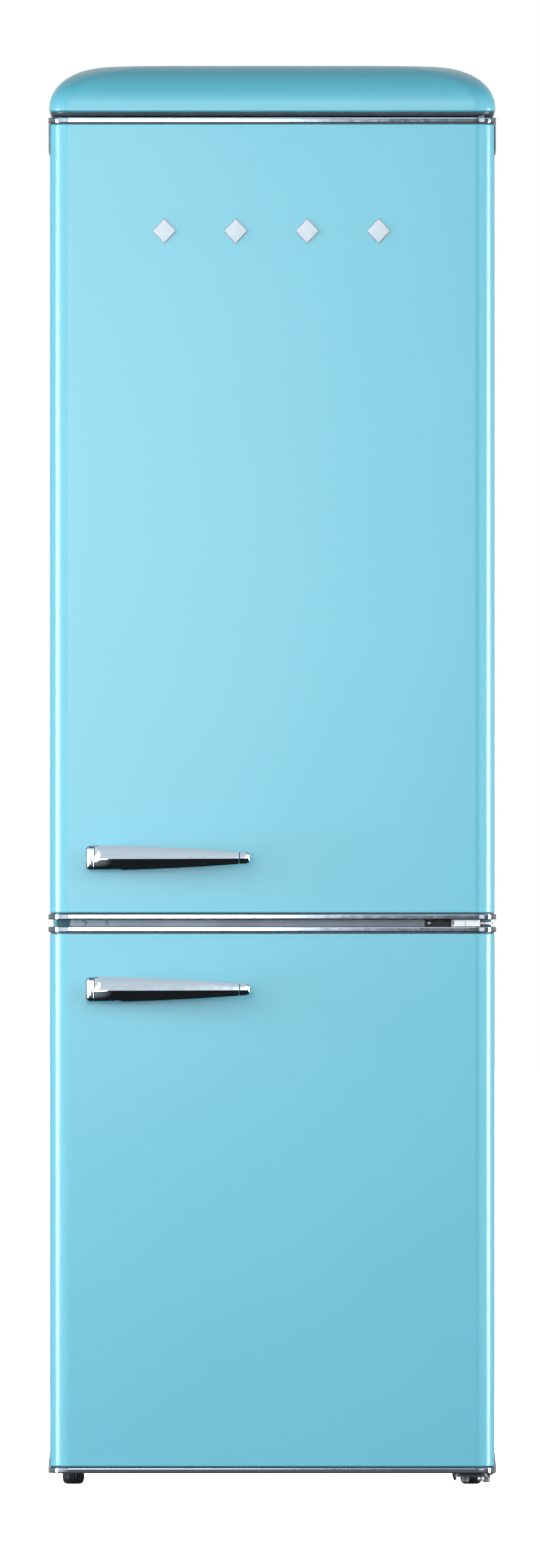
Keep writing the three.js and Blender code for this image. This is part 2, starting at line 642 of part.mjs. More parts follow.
// The upper door's liner: hollow dykes up both sides that carry the bins on small rests.
function upperLiner() {
  const sides = [1, -1].map((side) => {
    const x = DYKE.x.map((edge) => side * edge).sort((a, b) => a - b);
    const hollow = block(grown(x, -2), [LINER_PLATE[0] - 1, DYKE.back - 2], grown(DYKE.z, -2));
    return { solid: block(x, [DOOR_REAR - 1, DYKE.back], DYKE.z), hollow };
  });
  const rests = BINS.flatMap(({ z }) =>
    [1, -1].map((side) => block(span(3, side * (DYKE.x[0] - 2)), [-210, -155], [z[0] - 6, z[0] - TOUCH])),
  );
  const shell = join(linerPlate(UPPER_DOOR), ...sides.map((s) => s.solid));
  return join(cut(shell, ...sides.map((s) => s.hollow)), ...rests);
}

// A bin with round front corners, open at the top.
function doorBin([low, high]) {
  const y = [DOOR_REAR + 0.5, -115];
  const plan = (inset) => outline(span(BIN_HALF - inset), grown(y, -inset), [2, 2, 28 - inset, 28 - inset]);
  return cut(prism(plan(0), [low, high], "z", 4), prism(plan(2.5), [low + 2.5, high + 1], "z", 4));
}

// The freezer door's liner is a shallow hollow plateau that fits inside the opening.
const PLATEAU = { half: 210, back: -196, z: [82, 646] };

function lowerLiner() {
  const { half, back, z } = PLATEAU;
  const raised = block(span(half), [DOOR_REAR - 1, back], z);
  const hollow = block(span(half - 2), [LINER_PLATE[0] - 1, back - 2], grown(z, -2));
  return cut(join(linerPlate(LOWER_DOOR), raised), hollow);
}

// Four plain diamonds whose pins go through the door skin to a hidden strip.
function badge() {
  const { z, xs, wide, tall } = BADGE;
  const skinInside = DOOR_FACE + SHEET + TOUCH;
  const front = [DOOR_FACE - 2.6, DOOR_FACE - TOUCH];
  const strip = block(span(140), [skinInside, skinInside + 1.5], span(4, z));
  const diamonds = xs.flatMap((x) => [
    prism(polygon([[x, z - tall], [x + wide, z], [x, z + tall], [x - wide, z]]), front, "y"),
    rod(2, [x, z], [DOOR_FACE - 1, skinInside + 1], "y", 4),
  ]);
  return join(strip, ...diamonds);
}

const badgeHoles = () => BADGE.xs.map((x) => rod(2.4, [x, BADGE.z], span(3, DOOR_FACE), "y", 4));
const badgeGroove = () => block(span(141), [DOOR_FACE, DOOR_FACE + 4], span(5, BADGE.z));

// ---- Handles ---------------------------------------------------------------------------------

const HANDLE = { x: -230, length: 202.6, joint: 10, heights: { upper: 773, lower: 611 } };

// The lever's section at a distance from its left end: it tapers as it rises off the door.
function handleSection(x, grow = 0) {
  const u = x / HANDLE.length;
  const roundEnd = (distance, radius) => {
    const along = 1 - Math.min(1, distance / radius);
    return Math.sqrt(Math.max(0.02, 1 - along ** 2));
  };
  const end = Math.min(roundEnd(x, 9), roundEnd(HANDLE.length - x, 7));
  const halfHeight = (15.6 - 8.8 * u ** 1.6) * (0.55 + 0.45 * end) + grow;
  const halfDepth = (10 - 3 * u) * (0.35 + 0.65 * end) + grow;
  const middle = HANDLE_PROUD - 29.14 + 23 * u;
  return Array.from({ length: 16 }, (_, k) => {
    const angle = (k / 16) * 2 * Math.PI;
    const round = (value) => Math.sign(value) * Math.abs(value) ** 0.8;
    const y = -middle + halfDepth * round(Math.sin(angle));
    return new THREE.Vector3(x, y, halfHeight * round(Math.cos(angle)));
  });
}

function buildHandle(door, prefix, height) {
  const handle = assembly(door, [HANDLE.x, DOOR_FACE, height]);
  const { length, joint } = HANDLE;
  const cap = [0, 0.8, 2.5, 5, joint].map((x) => handleSection(x));
  const stations = [joint, 40, 70, 100, 130, 160, 185, length - 9, length - 4, length - 1.5, length];
  const lever = (shift, grow) =>
    loft(stations.map((x, i) => handleSection(i === 0 ? x + shift : x, grow)));
  const pedestal = prism(outline([3, 40], span(11), 6), [-22.8, -TOUCH], "y", 3);
  const mount = join(loft(cap), cut(pedestal, lever(-0.1, TOUCH)));
  piece(handle, `${prefix}_handle_mount`, mount, chrome);
  piece(handle, `${prefix}_handle_lever`, lever(TOUCH, 0), chrome);
}

// ---- Assembly --------------------------------------------------------------------------------

function buildCabinet() {
  const cabinet = assembly();
  piece(cabinet, "cabinet_case", cabinetCase(), enamel);
  piece(cabinet, "cabinet_insulation", cabinetInsulation(), foam);
  piece(cabinet, "fridge_liner", fridgeLiner(), whitePlastic);
  piece(cabinet, "freezer_liner", freezerLiner(), whitePlastic);
  piece(cabinet, "mullion_cover", mullionCover(), greyPlastic);
  piece(cabinet, "back_panel", backPanel(), zincSteel);
  piece(cabinet, "base_plate", basePlate(), zincSteel);
  piece(cabinet, "roof_cover", roofCover(), enamel);
  piece(cabinet, "roof_soffit", roofSoffit(), blackPlastic);
}

function buildInterior() {
  const interior = assembly();
  buildShelves(interior);
  piece(interior, "control_box", controlBox(), whitePlastic);
  const lens = block([-95, -5], [-150, 0], [CONTROL.z[0] - 6, CONTROL.z[0] - TOUCH]);
  piece(interior, "lamp_lens", lens, clearPlastic);
  piece(interior, "air_duct", airDuct(), whitePlastic);
  piece(interior, "freezer_air_cover", freezerAirCover(), whitePlastic);
  piece(interior, "evaporator", evaporator(), aluminium);
  piece(interior, "evaporator_fan", evaporatorFan(), blackPlastic, [0, FAN.y, FAN.z]);
  drawer(interior, "crisper_drawer", [SHELF_FRONT - 5, 205], [FRIDGE_Z[0] + TOUCH, 898]);
  drawer(interior, "freezer_drawer_top", [-175, 150], [476, 650]);
  drawer(interior, "freezer_drawer_middle", [-175, 150], [300, 465]);
  drawer(interior, "freezer_drawer_bottom", [-175, 55], [FREEZER_Z[0] + TOUCH, 288]);
}

function buildControls() {
  const controls = assembly(refrigerator, [0, CONTROL.y[0], CONTROL_MIDDLE]);
  const knob = [[0, -8], [3, -8], [3, 0.4], [13, 0.4], [13, 8], [11, 12], [0, 12]];
  const pointer = block(span(1.4), [-13.4, -10], [1, 11]);
  const knobPlace = [CONTROL.knobX, 0, 0];
  const dial = turned(knob.map(([r, h]) => [r, -h]), [0, 0, 0], "y");
  piece(controls, "thermostat_knob", join(dial, pointer), greyPlastic, knobPlace);
  const profile = [[0, 12], [6, 12], [6, 9], [4, 9], [4, -15.5], [2.5, -17.4], [0, -17.4]];
  const plunger = turned(profile, [0, 0, 0], "y", 16);
  piece(controls, "light_switch_plunger", plunger, whitePlastic, [CONTROL.plungerX, 0, 0]);
}

function buildMachinery() {
  const machinery = assembly();
  piece(machinery, "compressor", compressor(), blackSteel);
  piece(machinery, "drip_tray", openTray([10, 170], [135, 275], [204, 240], 2), blackPlastic);
  piece(machinery, "condenser", condenser(), blackSteel);
  piece(machinery, "mains_inlet", mainsInlet(), blackPlastic);
}

function buildHinges() {
  const hinges = assembly();
  piece(hinges, "top_hinge", topHinge(), zincSteel);
  piece(hinges, "middle_hinge", middleHinge(), zincSteel);
  piece(hinges, "middle_hinge_bush", hingeBush(), whitePlastic);
  piece(hinges, "bottom_hinge", bottomHinge(), zincSteel);
}

function buildDoor(prefix, z, liner, sealZ, skirts) {
  const door = assembly();
  const isUpper = prefix === "upper";
  const skin = isUpper ? cut(doorSkin(z), ...badgeHoles()) : doorSkin(z);
  const core = isUpper ? cut(doorInsulation(z), badgeGroove()) : doorInsulation(z);
  piece(door, `${prefix}_door_skin`, skin, enamel);
  piece(door, `${prefix}_door_insulation`, core, foam);
  piece(door, `${prefix}_door_liner`, liner, whitePlastic);
  piece(door, `${prefix}_door_gasket`, gasket(sealZ), sealRubber);
  const [low, high] = [z[0], z[1] - TRIM_HEIGHT];
  const trims = [trimCap(), join(trimCap(), skirts)];
  const [bottomTrim, topTrim] = isUpper ? trims : trims.reverse();
  piece(door, `${prefix}_door_bottom_trim`, bottomTrim, chrome, [0, 0, low]);
  piece(door, `${prefix}_door_top_trim`, topTrim, chrome, [0, 0, high]);
  buildHandle(door, prefix, HANDLE.heights[prefix]);
  return door;
}

function buildDoors() {
  const upper = buildDoor("upper", UPPER_DOOR, upperLiner(), [703, 1672], trimSkirts([4, -38], 4));
  BINS.forEach(({ z }, i) => piece(upper, `door_bin_${i + 1}`, doorBin(z), clearPlastic));
  piece(upper, "badge", badge(), silver);
  buildDoor("lower", LOWER_DOOR, lowerLiner(), [30, 681], trimSkirts([4, 40], 7));
}

// A round pad that meets the floor, on a stem screwed up into the cabinet.
function levellingFoot() {
  const { radius, height } = FOOT;
  const pad = [[0, 0], [8.5, 0], [11, 1.2], [13, 4], [radius, 7], [radius, height - 1], [radius - 1, height]];
  return turned([...pad, [4, height], [4, 42], [0, 42]], [0, 0, 0]);
}

function rearRoller() {
  const { radius, width, bore } = ROLLER;
  const half = width / 2;
  const tread = [[radius - 2, -half], [radius, 2 - half], [radius, half - 2], [radius - 2, half]];
  return turned([[bore, -half], ...tread, [bore, half], [bore, -half]], [0, 0, 0], "x");
}

function buildFeet() {
  const feet = assembly();
  FOOT.x.forEach((x, i) => {
    const side = ["left", "right"][i];
    piece(feet, `${side}_levelling_foot`, levellingFoot(), blackPlastic, [x, FOOT.y, 0]);
    piece(feet, `${side}_rear_roller`, rearRoller(), blackPlastic, [x, ROLLER.y, ROLLER.radius]);
  });
}

buildCabinet();
buildInterior();
buildControls();
buildMachinery();
buildHinges();
buildDoors();
buildFeet();

export default refrigerator;
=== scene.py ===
"""A retro fridge-freezer: pale blue enamel doors under a domed roof, plated trims and lever handles.

Everything is in metres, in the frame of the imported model: x to the right, the front facing -y, z up.
Sizes that are written in millimetres go through mm().
"""

import json
import math

import bmesh
import bpy
from mathutils import Matrix, Vector


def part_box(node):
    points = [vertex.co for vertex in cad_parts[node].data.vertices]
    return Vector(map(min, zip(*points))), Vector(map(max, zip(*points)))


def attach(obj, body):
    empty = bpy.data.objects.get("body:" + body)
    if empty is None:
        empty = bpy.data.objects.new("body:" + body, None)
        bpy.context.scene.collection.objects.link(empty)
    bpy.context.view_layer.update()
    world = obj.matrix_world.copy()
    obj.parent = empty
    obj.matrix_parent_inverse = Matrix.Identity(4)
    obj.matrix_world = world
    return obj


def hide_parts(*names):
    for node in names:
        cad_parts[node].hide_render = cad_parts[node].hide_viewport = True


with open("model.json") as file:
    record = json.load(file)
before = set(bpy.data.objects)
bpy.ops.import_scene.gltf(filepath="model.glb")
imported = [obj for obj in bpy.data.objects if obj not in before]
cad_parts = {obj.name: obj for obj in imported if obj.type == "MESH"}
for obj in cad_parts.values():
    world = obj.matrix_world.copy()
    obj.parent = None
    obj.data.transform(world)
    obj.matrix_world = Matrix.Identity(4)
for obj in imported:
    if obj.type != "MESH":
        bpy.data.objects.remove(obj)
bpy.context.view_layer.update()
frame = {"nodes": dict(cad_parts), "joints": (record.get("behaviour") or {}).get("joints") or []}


def mm(*sizes):
    """Millimetres to metres: one number for one size, a tuple for several."""
    metres = tuple(size / 1000 for size in sizes)
    return metres if len(metres) > 1 else metres[0]


# ---- Colours and material nodes --------------------------------------------------------------


def linear(hex_colour):
    """An sRGB hex colour as scene-linear red, green, blue and a full alpha."""
    channels = [int(hex_colour[i : i + 2], 16) / 255 for i in (1, 3, 5)]
    return (*[c / 12.92 if c <= 0.04045 else ((c + 0.055) / 1.055) ** 2.4 for c in channels], 1.0)


def add(tree, kind, links=None, values=None, **settings):
    """Adds a node. links and values go to its inputs by name or number; settings are its own properties."""
    made = tree.nodes.new(kind)
    for name, value in settings.items():
        setattr(made, name, value)
    for socket, value in (values or {}).items():
        made.inputs[socket].default_value = value
    for socket, source in (links or {}).items():
        tree.links.new(source, made.inputs[socket])
    return made


def begin(name, colour, roughness, **shader_values):
    """A new material's tree, its main shader and its object coordinates."""
    material = bpy.data.materials.new(name)
    material.use_nodes = True
    tree = material.node_tree
    tree.nodes.clear()
    values = {"Base Color": linear(colour), "Roughness": roughness}
    values.update({key.replace("_", " "): value for key, value in shader_values.items()})
    shader = add(tree, "ShaderNodeBsdfPrincipled", values=values)
    add(tree, "ShaderNodeOutputMaterial", {"Surface": shader.outputs["BSDF"]})
    place = add(tree, "ShaderNodeTexCoord").outputs["Object"]
    return material, tree, shader, place


def grain(tree, place, size, stretch=(1, 1, 1)):
    """Noise whose lumps are about `size` metres across, drawn out along the axes with a stretch over 1."""
    spread = add(tree, "ShaderNodeMapping", {"Vector": place}, {"Scale": [1 / s for s in stretch]})
    values = {"Scale": 1 / size, "Detail": 2.0, "Roughness": 0.55}
    return add(tree, "ShaderNodeTexNoise", {"Vector": spread.outputs[0]}, values).outputs["Fac"]


def raise_surface(tree, shader, height, depth):
    """Bumps the shader's surface by a height pattern that is `depth` metres deep."""
    bump = add(tree, "ShaderNodeBump", {"Height": height}, {"Strength": 1.0, "Distance": depth})
    tree.links.new(bump.outputs[0], shader.inputs["Normal"])


def vary(tree, factor, low, high, socket):
    """Sends factor 0.3 to 0.7 to the socket as low to high."""
    values = {"From Min": 0.3, "From Max": 0.7, "To Min": low, "To Max": high}
    tree.links.new(add(tree, "ShaderNodeMapRange", {"Value": factor}, values).outputs[0], socket)


def blend_colours(tree, factor, first, second, socket):
    """Sends a mix of two hex colours to the socket, by a factor that runs from 0.3 to 0.7."""
    ramp = add(tree, "ShaderNodeValToRGB", {"Fac": factor})
    ramp.color_ramp.elements[0].position, ramp.color_ramp.elements[1].position = 0.3, 0.7
    ramp.color_ramp.elements[0].color, ramp.color_ramp.elements[1].color = linear(first), linear(second)
    tree.links.new(ramp.outputs["Color"], socket)


# ---- Materials -------------------------------------------------------------------------------


def surface(name, colour, roughness, mottle=None, wear=None, tooth=None, **shader_values):
    """A material with a mottled colour, an uneven gloss and a tooth, each from noise of its own size.

    Sizes and depths are in millimetres: mottle is (size, first colour, second colour), wear is (size,
    least roughness, most roughness) and tooth is (size, depth). Wear and tooth can end with a stretch.
    """
    material, tree, shader, place = begin(name, colour, roughness, **shader_values)
    if mottle:
        size, first, second = mottle
        blend_colours(tree, grain(tree, place, mm(size)), first, second, shader.inputs["Base Color"])
    if wear:
        size, least, most, *stretch = wear
        vary(tree, grain(tree, place, mm(size), *stretch), least, most, shader.inputs["Roughness"])
    if tooth:
        size, depth, *stretch = tooth
        raise_surface(tree, shader, grain(tree, place, mm(size), *stretch), mm(depth))
    return material


def bright_chrome(name, colour, roughness):
    """Zinc casting and strip, polished and chromium plated: a mirror, dulled a little by wiping."""
    wear = (9, roughness - 0.02, roughness + 0.03)
    return surface(name, colour, roughness, wear=wear, tooth=(14, 0.01), Metallic=1.0)


def moulded_abs(name, colour, tint, roughness):
    """ABS injection moulded against a spark-eroded tool, which leaves a fine even tooth."""
    wear = (6, roughness - 0.05, roughness + 0.07)
    # The real tooth is about 0.05 mm; it is drawn at 0.8 mm so that it shows.
    return surface(name, colour, roughness, (22, colour, tint), wear, (0.8, 0.02), IOR=1.54)


def zinc_plate(name, colour, bloom):
    """Mild steel pressed and bright zinc plated: blue-white metal with faint yellow bloom."""
    mottle, wear, tooth = (16, colour, bloom), (5, 0.24, 0.4), (1.2, 0.006, (8, 1, 1))
    return surface(name, colour, 0.3, mottle, wear, tooth, Metallic=1.0)


def rigid_foam():
    """Polyurethane poured in place, which sets to a straw-coloured foam of small closed cells."""
    material, tree, shader, place = begin("rigid_foam", "#e5d7a4", 0.9)
    cells = add(tree, "ShaderNodeTexVoronoi", {"Vector": place}, {"Scale": 1 / mm(3)}).outputs["Distance"]
    blend_colours(tree, cells, "#d9c88f", "#eadfb2", shader.inputs["Base Color"])
    raise_surface(tree, shader, cells, mm(0.6))
    return material


def galvanised_sheet():
    """Hot-dip galvanised sheet: dull grey zinc whose crystals show as spangle about 12 mm across."""
    material, tree, shader, place = begin("galvanised_sheet", "#b4bbc0", 0.42, Metallic=0.75)
    spangle = add(tree, "ShaderNodeTexVoronoi", {"Vector": place}, {"Scale": 1 / mm(12)}).outputs["Color"]
    tone = add(tree, "ShaderNodeSeparateColor", {"Color": spangle}).outputs[0]
    blend_colours(tree, tone, "#a9b1b7", "#c3c9cd", shader.inputs["Base Color"])
    vary(tree, tone, 0.36, 0.5, shader.inputs["Roughness"])
    return material


# Polyester enamel sprayed on sheet steel and baked: a full gloss with a faint orange peel.
ENAMEL = surface("baked_enamel", "#55b1c7", 0.4, (320, "#54b0c6", "#56b2c8"), (60, 0.39, 0.41), (4, 0.006),
                 IOR=1.45, Coat_Weight=1.0, Coat_Roughness=0.28, Coat_IOR=1.52)
CHROME = bright_chrome("bright_chrome", "#b9c9d6", 0.06)
PLATED_STRIP = bright_chrome("plated_strip", "#8c97a3", 0.1)
# Die-cast zinc, bead-blasted and nickel plated: silver with a soft sheen and a fine tooth.
NICKEL = surface("satin_nickel", "#b4bfc7", 0.5, wear=(2, 0.46, 0.54), tooth=(0.5, 0.01), Metallic=0.9)
# High-impact polystyrene sheet, vacuum formed: smooth white with a soft gloss and slow waves.
WHITE_SHEET = surface("formed_polystyrene", "#e4e9ea", 0.32, (140, "#e4e9ea", "#dde3e5"), (25, 0.28, 0.38),
                      (18, 0.05), IOR=1.59)
WHITE_ABS = moulded_abs("white_abs", "#e1ebee", "#d9e4e8", 0.36)
GREY_ABS = moulded_abs("grey_abs", "#67717b", "#727c86", 0.4)
# Moulded strip sprayed with grey paint that holds fine aluminium flake: it picks up any light ahead.
GREY_PAINT = surface("grey_metallic_paint", "#6f7985", 0.3, (60, "#6c7682", "#727c88"), (40, 0.27, 0.33),
                     (0.8, 0.001), Metallic=0.6)
DARK_ABS = moulded_abs("dark_abs", "#2f3d48", "#3a4853", 0.34)
# Dark teal ABS: the enamel's colour darkened, a painted shade for the end cover deep in the gap between the
# doors.
PAINTED_SHADE_TEAL = moulded_abs("teal_abs_painted_shade", "#2f6b7c", "#35727f", 0.4)
BLACK_ABS = moulded_abs("black_abs", "#15171b", "#202227", 0.42)
# Crystal polystyrene, injection moulded: clear with a cool cast, faintly wavy where it cooled.
CLEAR = surface("clear_polystyrene", "#dcecf2", 0.12, wear=(30, 0.08, 0.2), tooth=(24, 0.12), IOR=1.59,
                Transmission_Weight=0.72, Alpha=0.9)
# Soda-lime float glass, cut, ground at the edges and toughened: clear with a green cast.
GLASS = surface("shelf_glass", "#dff2ea", 0.02, wear=(50, 0.01, 0.05), IOR=1.52, Transmission_Weight=0.94)
FOAM = rigid_foam()
# Soft PVC, extruded: pale grey, smooth along its length, and slightly dusty.
RUBBER = surface("seal_rubber", "#ced4d7", 0.62, (40, "#c6cdd0", "#d8dddf"), tooth=(1.5, 0.03), IOR=1.53)
ZINC = zinc_plate("zinc_plate", "#aab3bd", "#c9c8bd")
# Zinc plate darkened to a grey-blue: painted shade for the bracket in the shadow under the cabinet.
PAINTED_SHADE_ZINC = zinc_plate("zinc_plate_painted_shade", "#4d555e", "#5c6268")
GALVANISED = galvanised_sheet()
# Black alkyd enamel, dipped: satin, thick on the edges, with dust nibs.
BLACK_STEEL = surface("black_enamel", "#1c1e21", 0.36, (30, "#17181b", "#26282b"), (12, 0.3, 0.46),
                      (2.5, 0.04), IOR=1.5)
# Drawn copper pipe, a little browned where it was brazed.
COPPER = surface("drawn_copper", "#b8714a", 0.3, (35, "#8f5234", "#c9835a"), (8, 0.22, 0.42), Metallic=1.0)
# Rolled aluminium fin stock: pale, with the mill's fine lines.
MILL_LINES = (1, 1, 12)
ALUMINIUM = surface("mill_aluminium", "#c6cacd", 0.35, wear=(1, 0.28, 0.44, MILL_LINES),
                    tooth=(1, 0.01, MILL_LINES), Metallic=1.0)


# ---- Outlines and shapes ---------------------------------------------------------------------

FINEST = mm(0.2)  # stands for a sharp corner, so that every outline has the same number of points


def outline(low, high, radii, steps=6):
    """Points round a rectangle with a radius for each corner: low-low, high-low, high-high, low-high."""
    radii = radii if isinstance(radii, (tuple, list)) else (radii,) * 4
    (left, near), (right, far) = low, high
    corners = [(left, near, 1, 1), (right, near, -1, 1), (right, far, -1, -1), (left, far, 1, -1)]
    points = []
    for turn, ((x, y, inward_x, inward_y), radius) in enumerate(zip(corners, radii)):
        radius = max(radius, FINEST)
        for i in range(steps + 1):
            angle = math.pi + (turn + i / steps) * math.pi / 2
            middle = (x + inward_x * radius, y + inward_y * radius)
            points.append((middle[0] + radius * math.cos(angle), middle[1] + radius * math.sin(angle)))
    return points


def lift(points, axis, level):
    """Flat points as points in space, at a level along the axis that they don't use."""
    at = "xyz".index(axis)
    return [Vector((*p[:at], level, *p[at:])) for p in points]


def circle(middle, radius, steps):
    """Points round a circle, anticlockwise."""
    angles = [2 * math.pi * i / steps for i in range(steps)]
    return [(middle[0] + radius * math.cos(a), middle[1] + radius * math.sin(a)) for a in angles]


def rounded(corners, radius, steps):
    """An open line through flat corners, each turned into an arc of the radius."""
    line = [Vector(corners[0])]
    for before, corner, after in zip(corners, corners[1:], corners[2:]):
        corner = Vector(corner)
        back, on = (Vector(before) - corner).normalized(), (Vector(after) - corner).normalized()
        half = back.angle(on) / 2
        reach = radius / math.tan(half)
        middle = corner + (back + on).normalized() * radius / math.sin(half)
        start, end = corner + back * reach - middle, corner + on * reach - middle
        for i in range(steps + 1):
            line.append(middle + start.slerp(end, i / steps) * radius)
    line.append(Vector(corners[-1]))
    return line


class Shape:
    """The points and faces of one piece. A finish is the place of a face's material in the piece's list."""

    def __init__(self):
        self.points = []
        self.faces = []
        self.finishes = []

    def skin(self, rings, finish=0, ends=True, around=True, loop=False):
        """Joins rings of equally many points. loop joins the last ring to the first as well."""
        base, count = len(self.points), len(rings[0])
        self.points += [Vector(point) for ring in rings for point in ring]
        steps = count if around else count - 1
        levels = len(rings) if loop else len(rings) - 1
        made = []
        for level in range(levels):
            here, there = base + level * count, base + (level + 1) % len(rings) * count
            for i in range(steps):
                j = (i + 1) % count
                made.append((here + i, here + j, there + j, there + i))
        if ends and not loop:
            made.append(tuple(base + i for i in reversed(range(count))))
            made.append(tuple(base + (len(rings) - 1) * count + i for i in range(count)))
        self.faces += made
        self.finishes += [finish] * len(made)
        return self

    def prism(self, points, axis, low, high, finish=0):
        """Flat points, in the two other axes in x, y, z order, drawn from low to high along the axis."""
        return self.skin([lift(points, axis, low), lift(points, axis, high)], finish)

    def slab(self, low, high, finish=0, round_off=0.0, axis="z"):
        """A block between two corners; round_off rounds the four edges along the axis."""
        at = "xyz".index(axis)
        (left, near), (right, far) = [[v for i, v in enumerate(corner) if i != at] for corner in (low, high)]
        points = [(left, near), (right, near), (right, far), (left, far)]
        if round_off:
            points = outline((left, near), (right, far), round_off, 3)
        return self.prism(points, axis, low[at], high[at], finish)

    def turned(self, profile, place, axis="z", finish=0, steps=32):
        """A profile of (radius, along) pairs in millimetres, turned round an axis through a place.

        A radius of 0 closes an end.
        """
        rings = []
        for radius, along in profile:
            ring = lift(circle((0, 0), mm(max(radius, 0.05)), steps), axis, mm(along))
            rings.append([point + Vector(place) for point in ring])
        return self.skin(rings, finish)

    def pipe(self, path, radius, steps):
        """A round bar along a line of points, closed at both ends."""
        path = [Vector(point) for point in path]
        ahead = (path[1] - path[0]).normalized()
        side = ahead.orthogonal().normalized()
        rings = []
        for i, point in enumerate(path):
            ahead = (path[min(i + 1, len(path) - 1)] - path[max(i - 1, 0)]).normalized()
            side = (side - ahead * side.dot(ahead)).normalized()
            up = ahead.cross(side)
            angles = [2 * math.pi * k / steps for k in range(steps)]
            rings.append([point + radius * (side * math.cos(a) + up * math.sin(a)) for a in angles])
        return self.skin(rings)

    def frame(self, low, high, radius, section):
        """A section of (outward, y) pairs carried round an upright rectangle given by (x, z) corners."""
        rings = []
        for outward, y in section:
            points = outline((low[0] - outward, low[1] - outward), (high[0] + outward, high[1] + outward),
                             max(radius + outward, FINEST))
            rings.append(lift(points, "y", y))
        return self.skin(rings, loop=True)


def piece(shape, name, body, slot, materials, stands_for=(), bevel=0.0, bevel_steps=2, wall=0.0, angle=35):
    """Makes a shape into a piece that rides on a body, rounded by a bevel or thickened to a wall."""
    mesh = bpy.data.meshes.new(name)
    mesh.from_pydata([tuple(p) for p in shape.points], [], shape.faces)
    mesh.polygons.foreach_set("material_index", shape.finishes)
    for material in materials if isinstance(materials, (list, tuple)) else [materials]:
        mesh.materials.append(material)
    work = bmesh.new()
    work.from_mesh(mesh)
    bmesh.ops.remove_doubles(work, verts=work.verts, dist=1e-7)
    bmesh.ops.recalc_face_normals(work, faces=work.faces)
    work.to_mesh(mesh)
    work.free()
    made = bpy.data.objects.new(name, mesh)
    bpy.context.scene.collection.objects.link(made)
    shade(made, bevel, bevel_steps, wall, angle)
    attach(made, body)
    if stands_for:
        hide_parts(*([stands_for] if isinstance(stands_for, str) else stands_for))
    return made


def shade(made, bevel, bevel_steps, wall=0.0, angle=35):
    """Smooth shading with crisp edges, after rounding the edges or giving a sheet its thickness."""
    made.data.shade_smooth()
    made.data.set_sharp_from_angle(angle=math.radians(angle))
    if wall:
        sheet = made.modifiers.new("sheet_thickness", "SOLIDIFY")
        sheet.thickness, sheet.offset = wall, -1.0
    if bevel:
        edge = made.modifiers.new("rounded_edges", "BEVEL")
        edge.width, edge.segments = bevel, bevel_steps
        edge.limit_method, edge.angle_limit = "ANGLE", math.radians(angle)
        edge.harden_normals = not wall
    flat = made.modifiers.new("true_flats", "WEIGHTED_NORMAL")
    flat.keep_sharp = True


def carry_over(node, material, bevel=0.0, bevel_steps=2):
    """Keeps a CAD node's own shape, gives it its material, and rounds its edges."""
    made = frame["nodes"][node]
    made.data.materials.clear()
    made.data.materials.append(material)
    if bevel:
        flats = made.modifiers.new("whole_flats", "DECIMATE")
        flats.decimate_type, flats.angle_limit = "DISSOLVE", math.radians(1)
    shade(made, bevel, bevel_steps)
    return made


def between(first, last, count):
    """Evenly spaced numbers from first to last."""
    return [first + (last - first) * i / (count - 1) for i in range(count)]


# ---- Camera, light and floor -----------------------------------------------------------------

DOOR_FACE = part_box("upper_door_skin")[0].y


def place_camera():
    """A long lens square to the doors, a little under the middle of their height."""
    distance = 42.0
    seen_height = 1.9125  # at the doors' faces
    camera = bpy.data.cameras.new("studio_camera")
    camera.sensor_fit, camera.sensor_height = "VERTICAL", 24.0
    camera.lens = camera.sensor_height * distance / seen_height
    camera.clip_end = 2000
    stand = bpy.data.objects.new("studio_camera", camera)
    stand.location = (mm(-2.8), DOOR_FACE - distance, mm(873.2))
    stand.rotation_euler = (math.pi / 2, 0, 0)
    bpy.context.scene.collection.objects.link(stand)
    bpy.context.scene.camera = stand


def softbox(name, place, aim, size, radiance, mirrored=True):
    """A rectangular lamp of a given brightness, turned to face a point; mirrored says if gloss shows it."""
    lamp = bpy.data.lights.new(name, "AREA")
    lamp.shape, lamp.size, lamp.size_y = "RECTANGLE", *size
    lamp.energy = radiance * math.pi * size[0] * size[1]
    stand = bpy.data.objects.new(name, lamp)
    stand.location = place
    stand.rotation_euler = (Vector(aim) - Vector(place)).to_track_quat("-Z", "Y").to_euler()
    stand.visible_camera = False
    stand.visible_glossy = mirrored
    bpy.context.scene.collection.objects.link(stand)


# The room as (height of a direction from -1 straight down to 1 straight up, brightness).
ROOM_IN_FRONT = [(-1, 0.02), (-0.57, 0.02), (-0.42, 0.1), (-0.14, 0.25), (0, 0.3), (0.12, 0.6), (0.25, 1.05),
                 (0.42, 1.15), (0.64, 1.0), (0.766, 0.35), (0.88, 0.12), (1, 0.05)]
ROOM_BEHIND = [(-1, 0.2), (-0.3, 0.2), (0, 0.6), (0.2, 0.6), (0.5, 0.4), (0.85, 0.15), (1, 0.05)]


def room_tones(tree, height, stops):
    """A ramp from the floor to the ceiling."""
    ramp = add(tree, "ShaderNodeValToRGB", {"Fac": height})
    for _ in stops[2:]:
        ramp.color_ramp.elements.new(0.5)
    for element, (level, tone) in zip(ramp.color_ramp.elements, stops):
        element.position = (level + 1) / 2
        element.color = (tone, tone, tone, 1)
    return ramp.outputs["Color"]


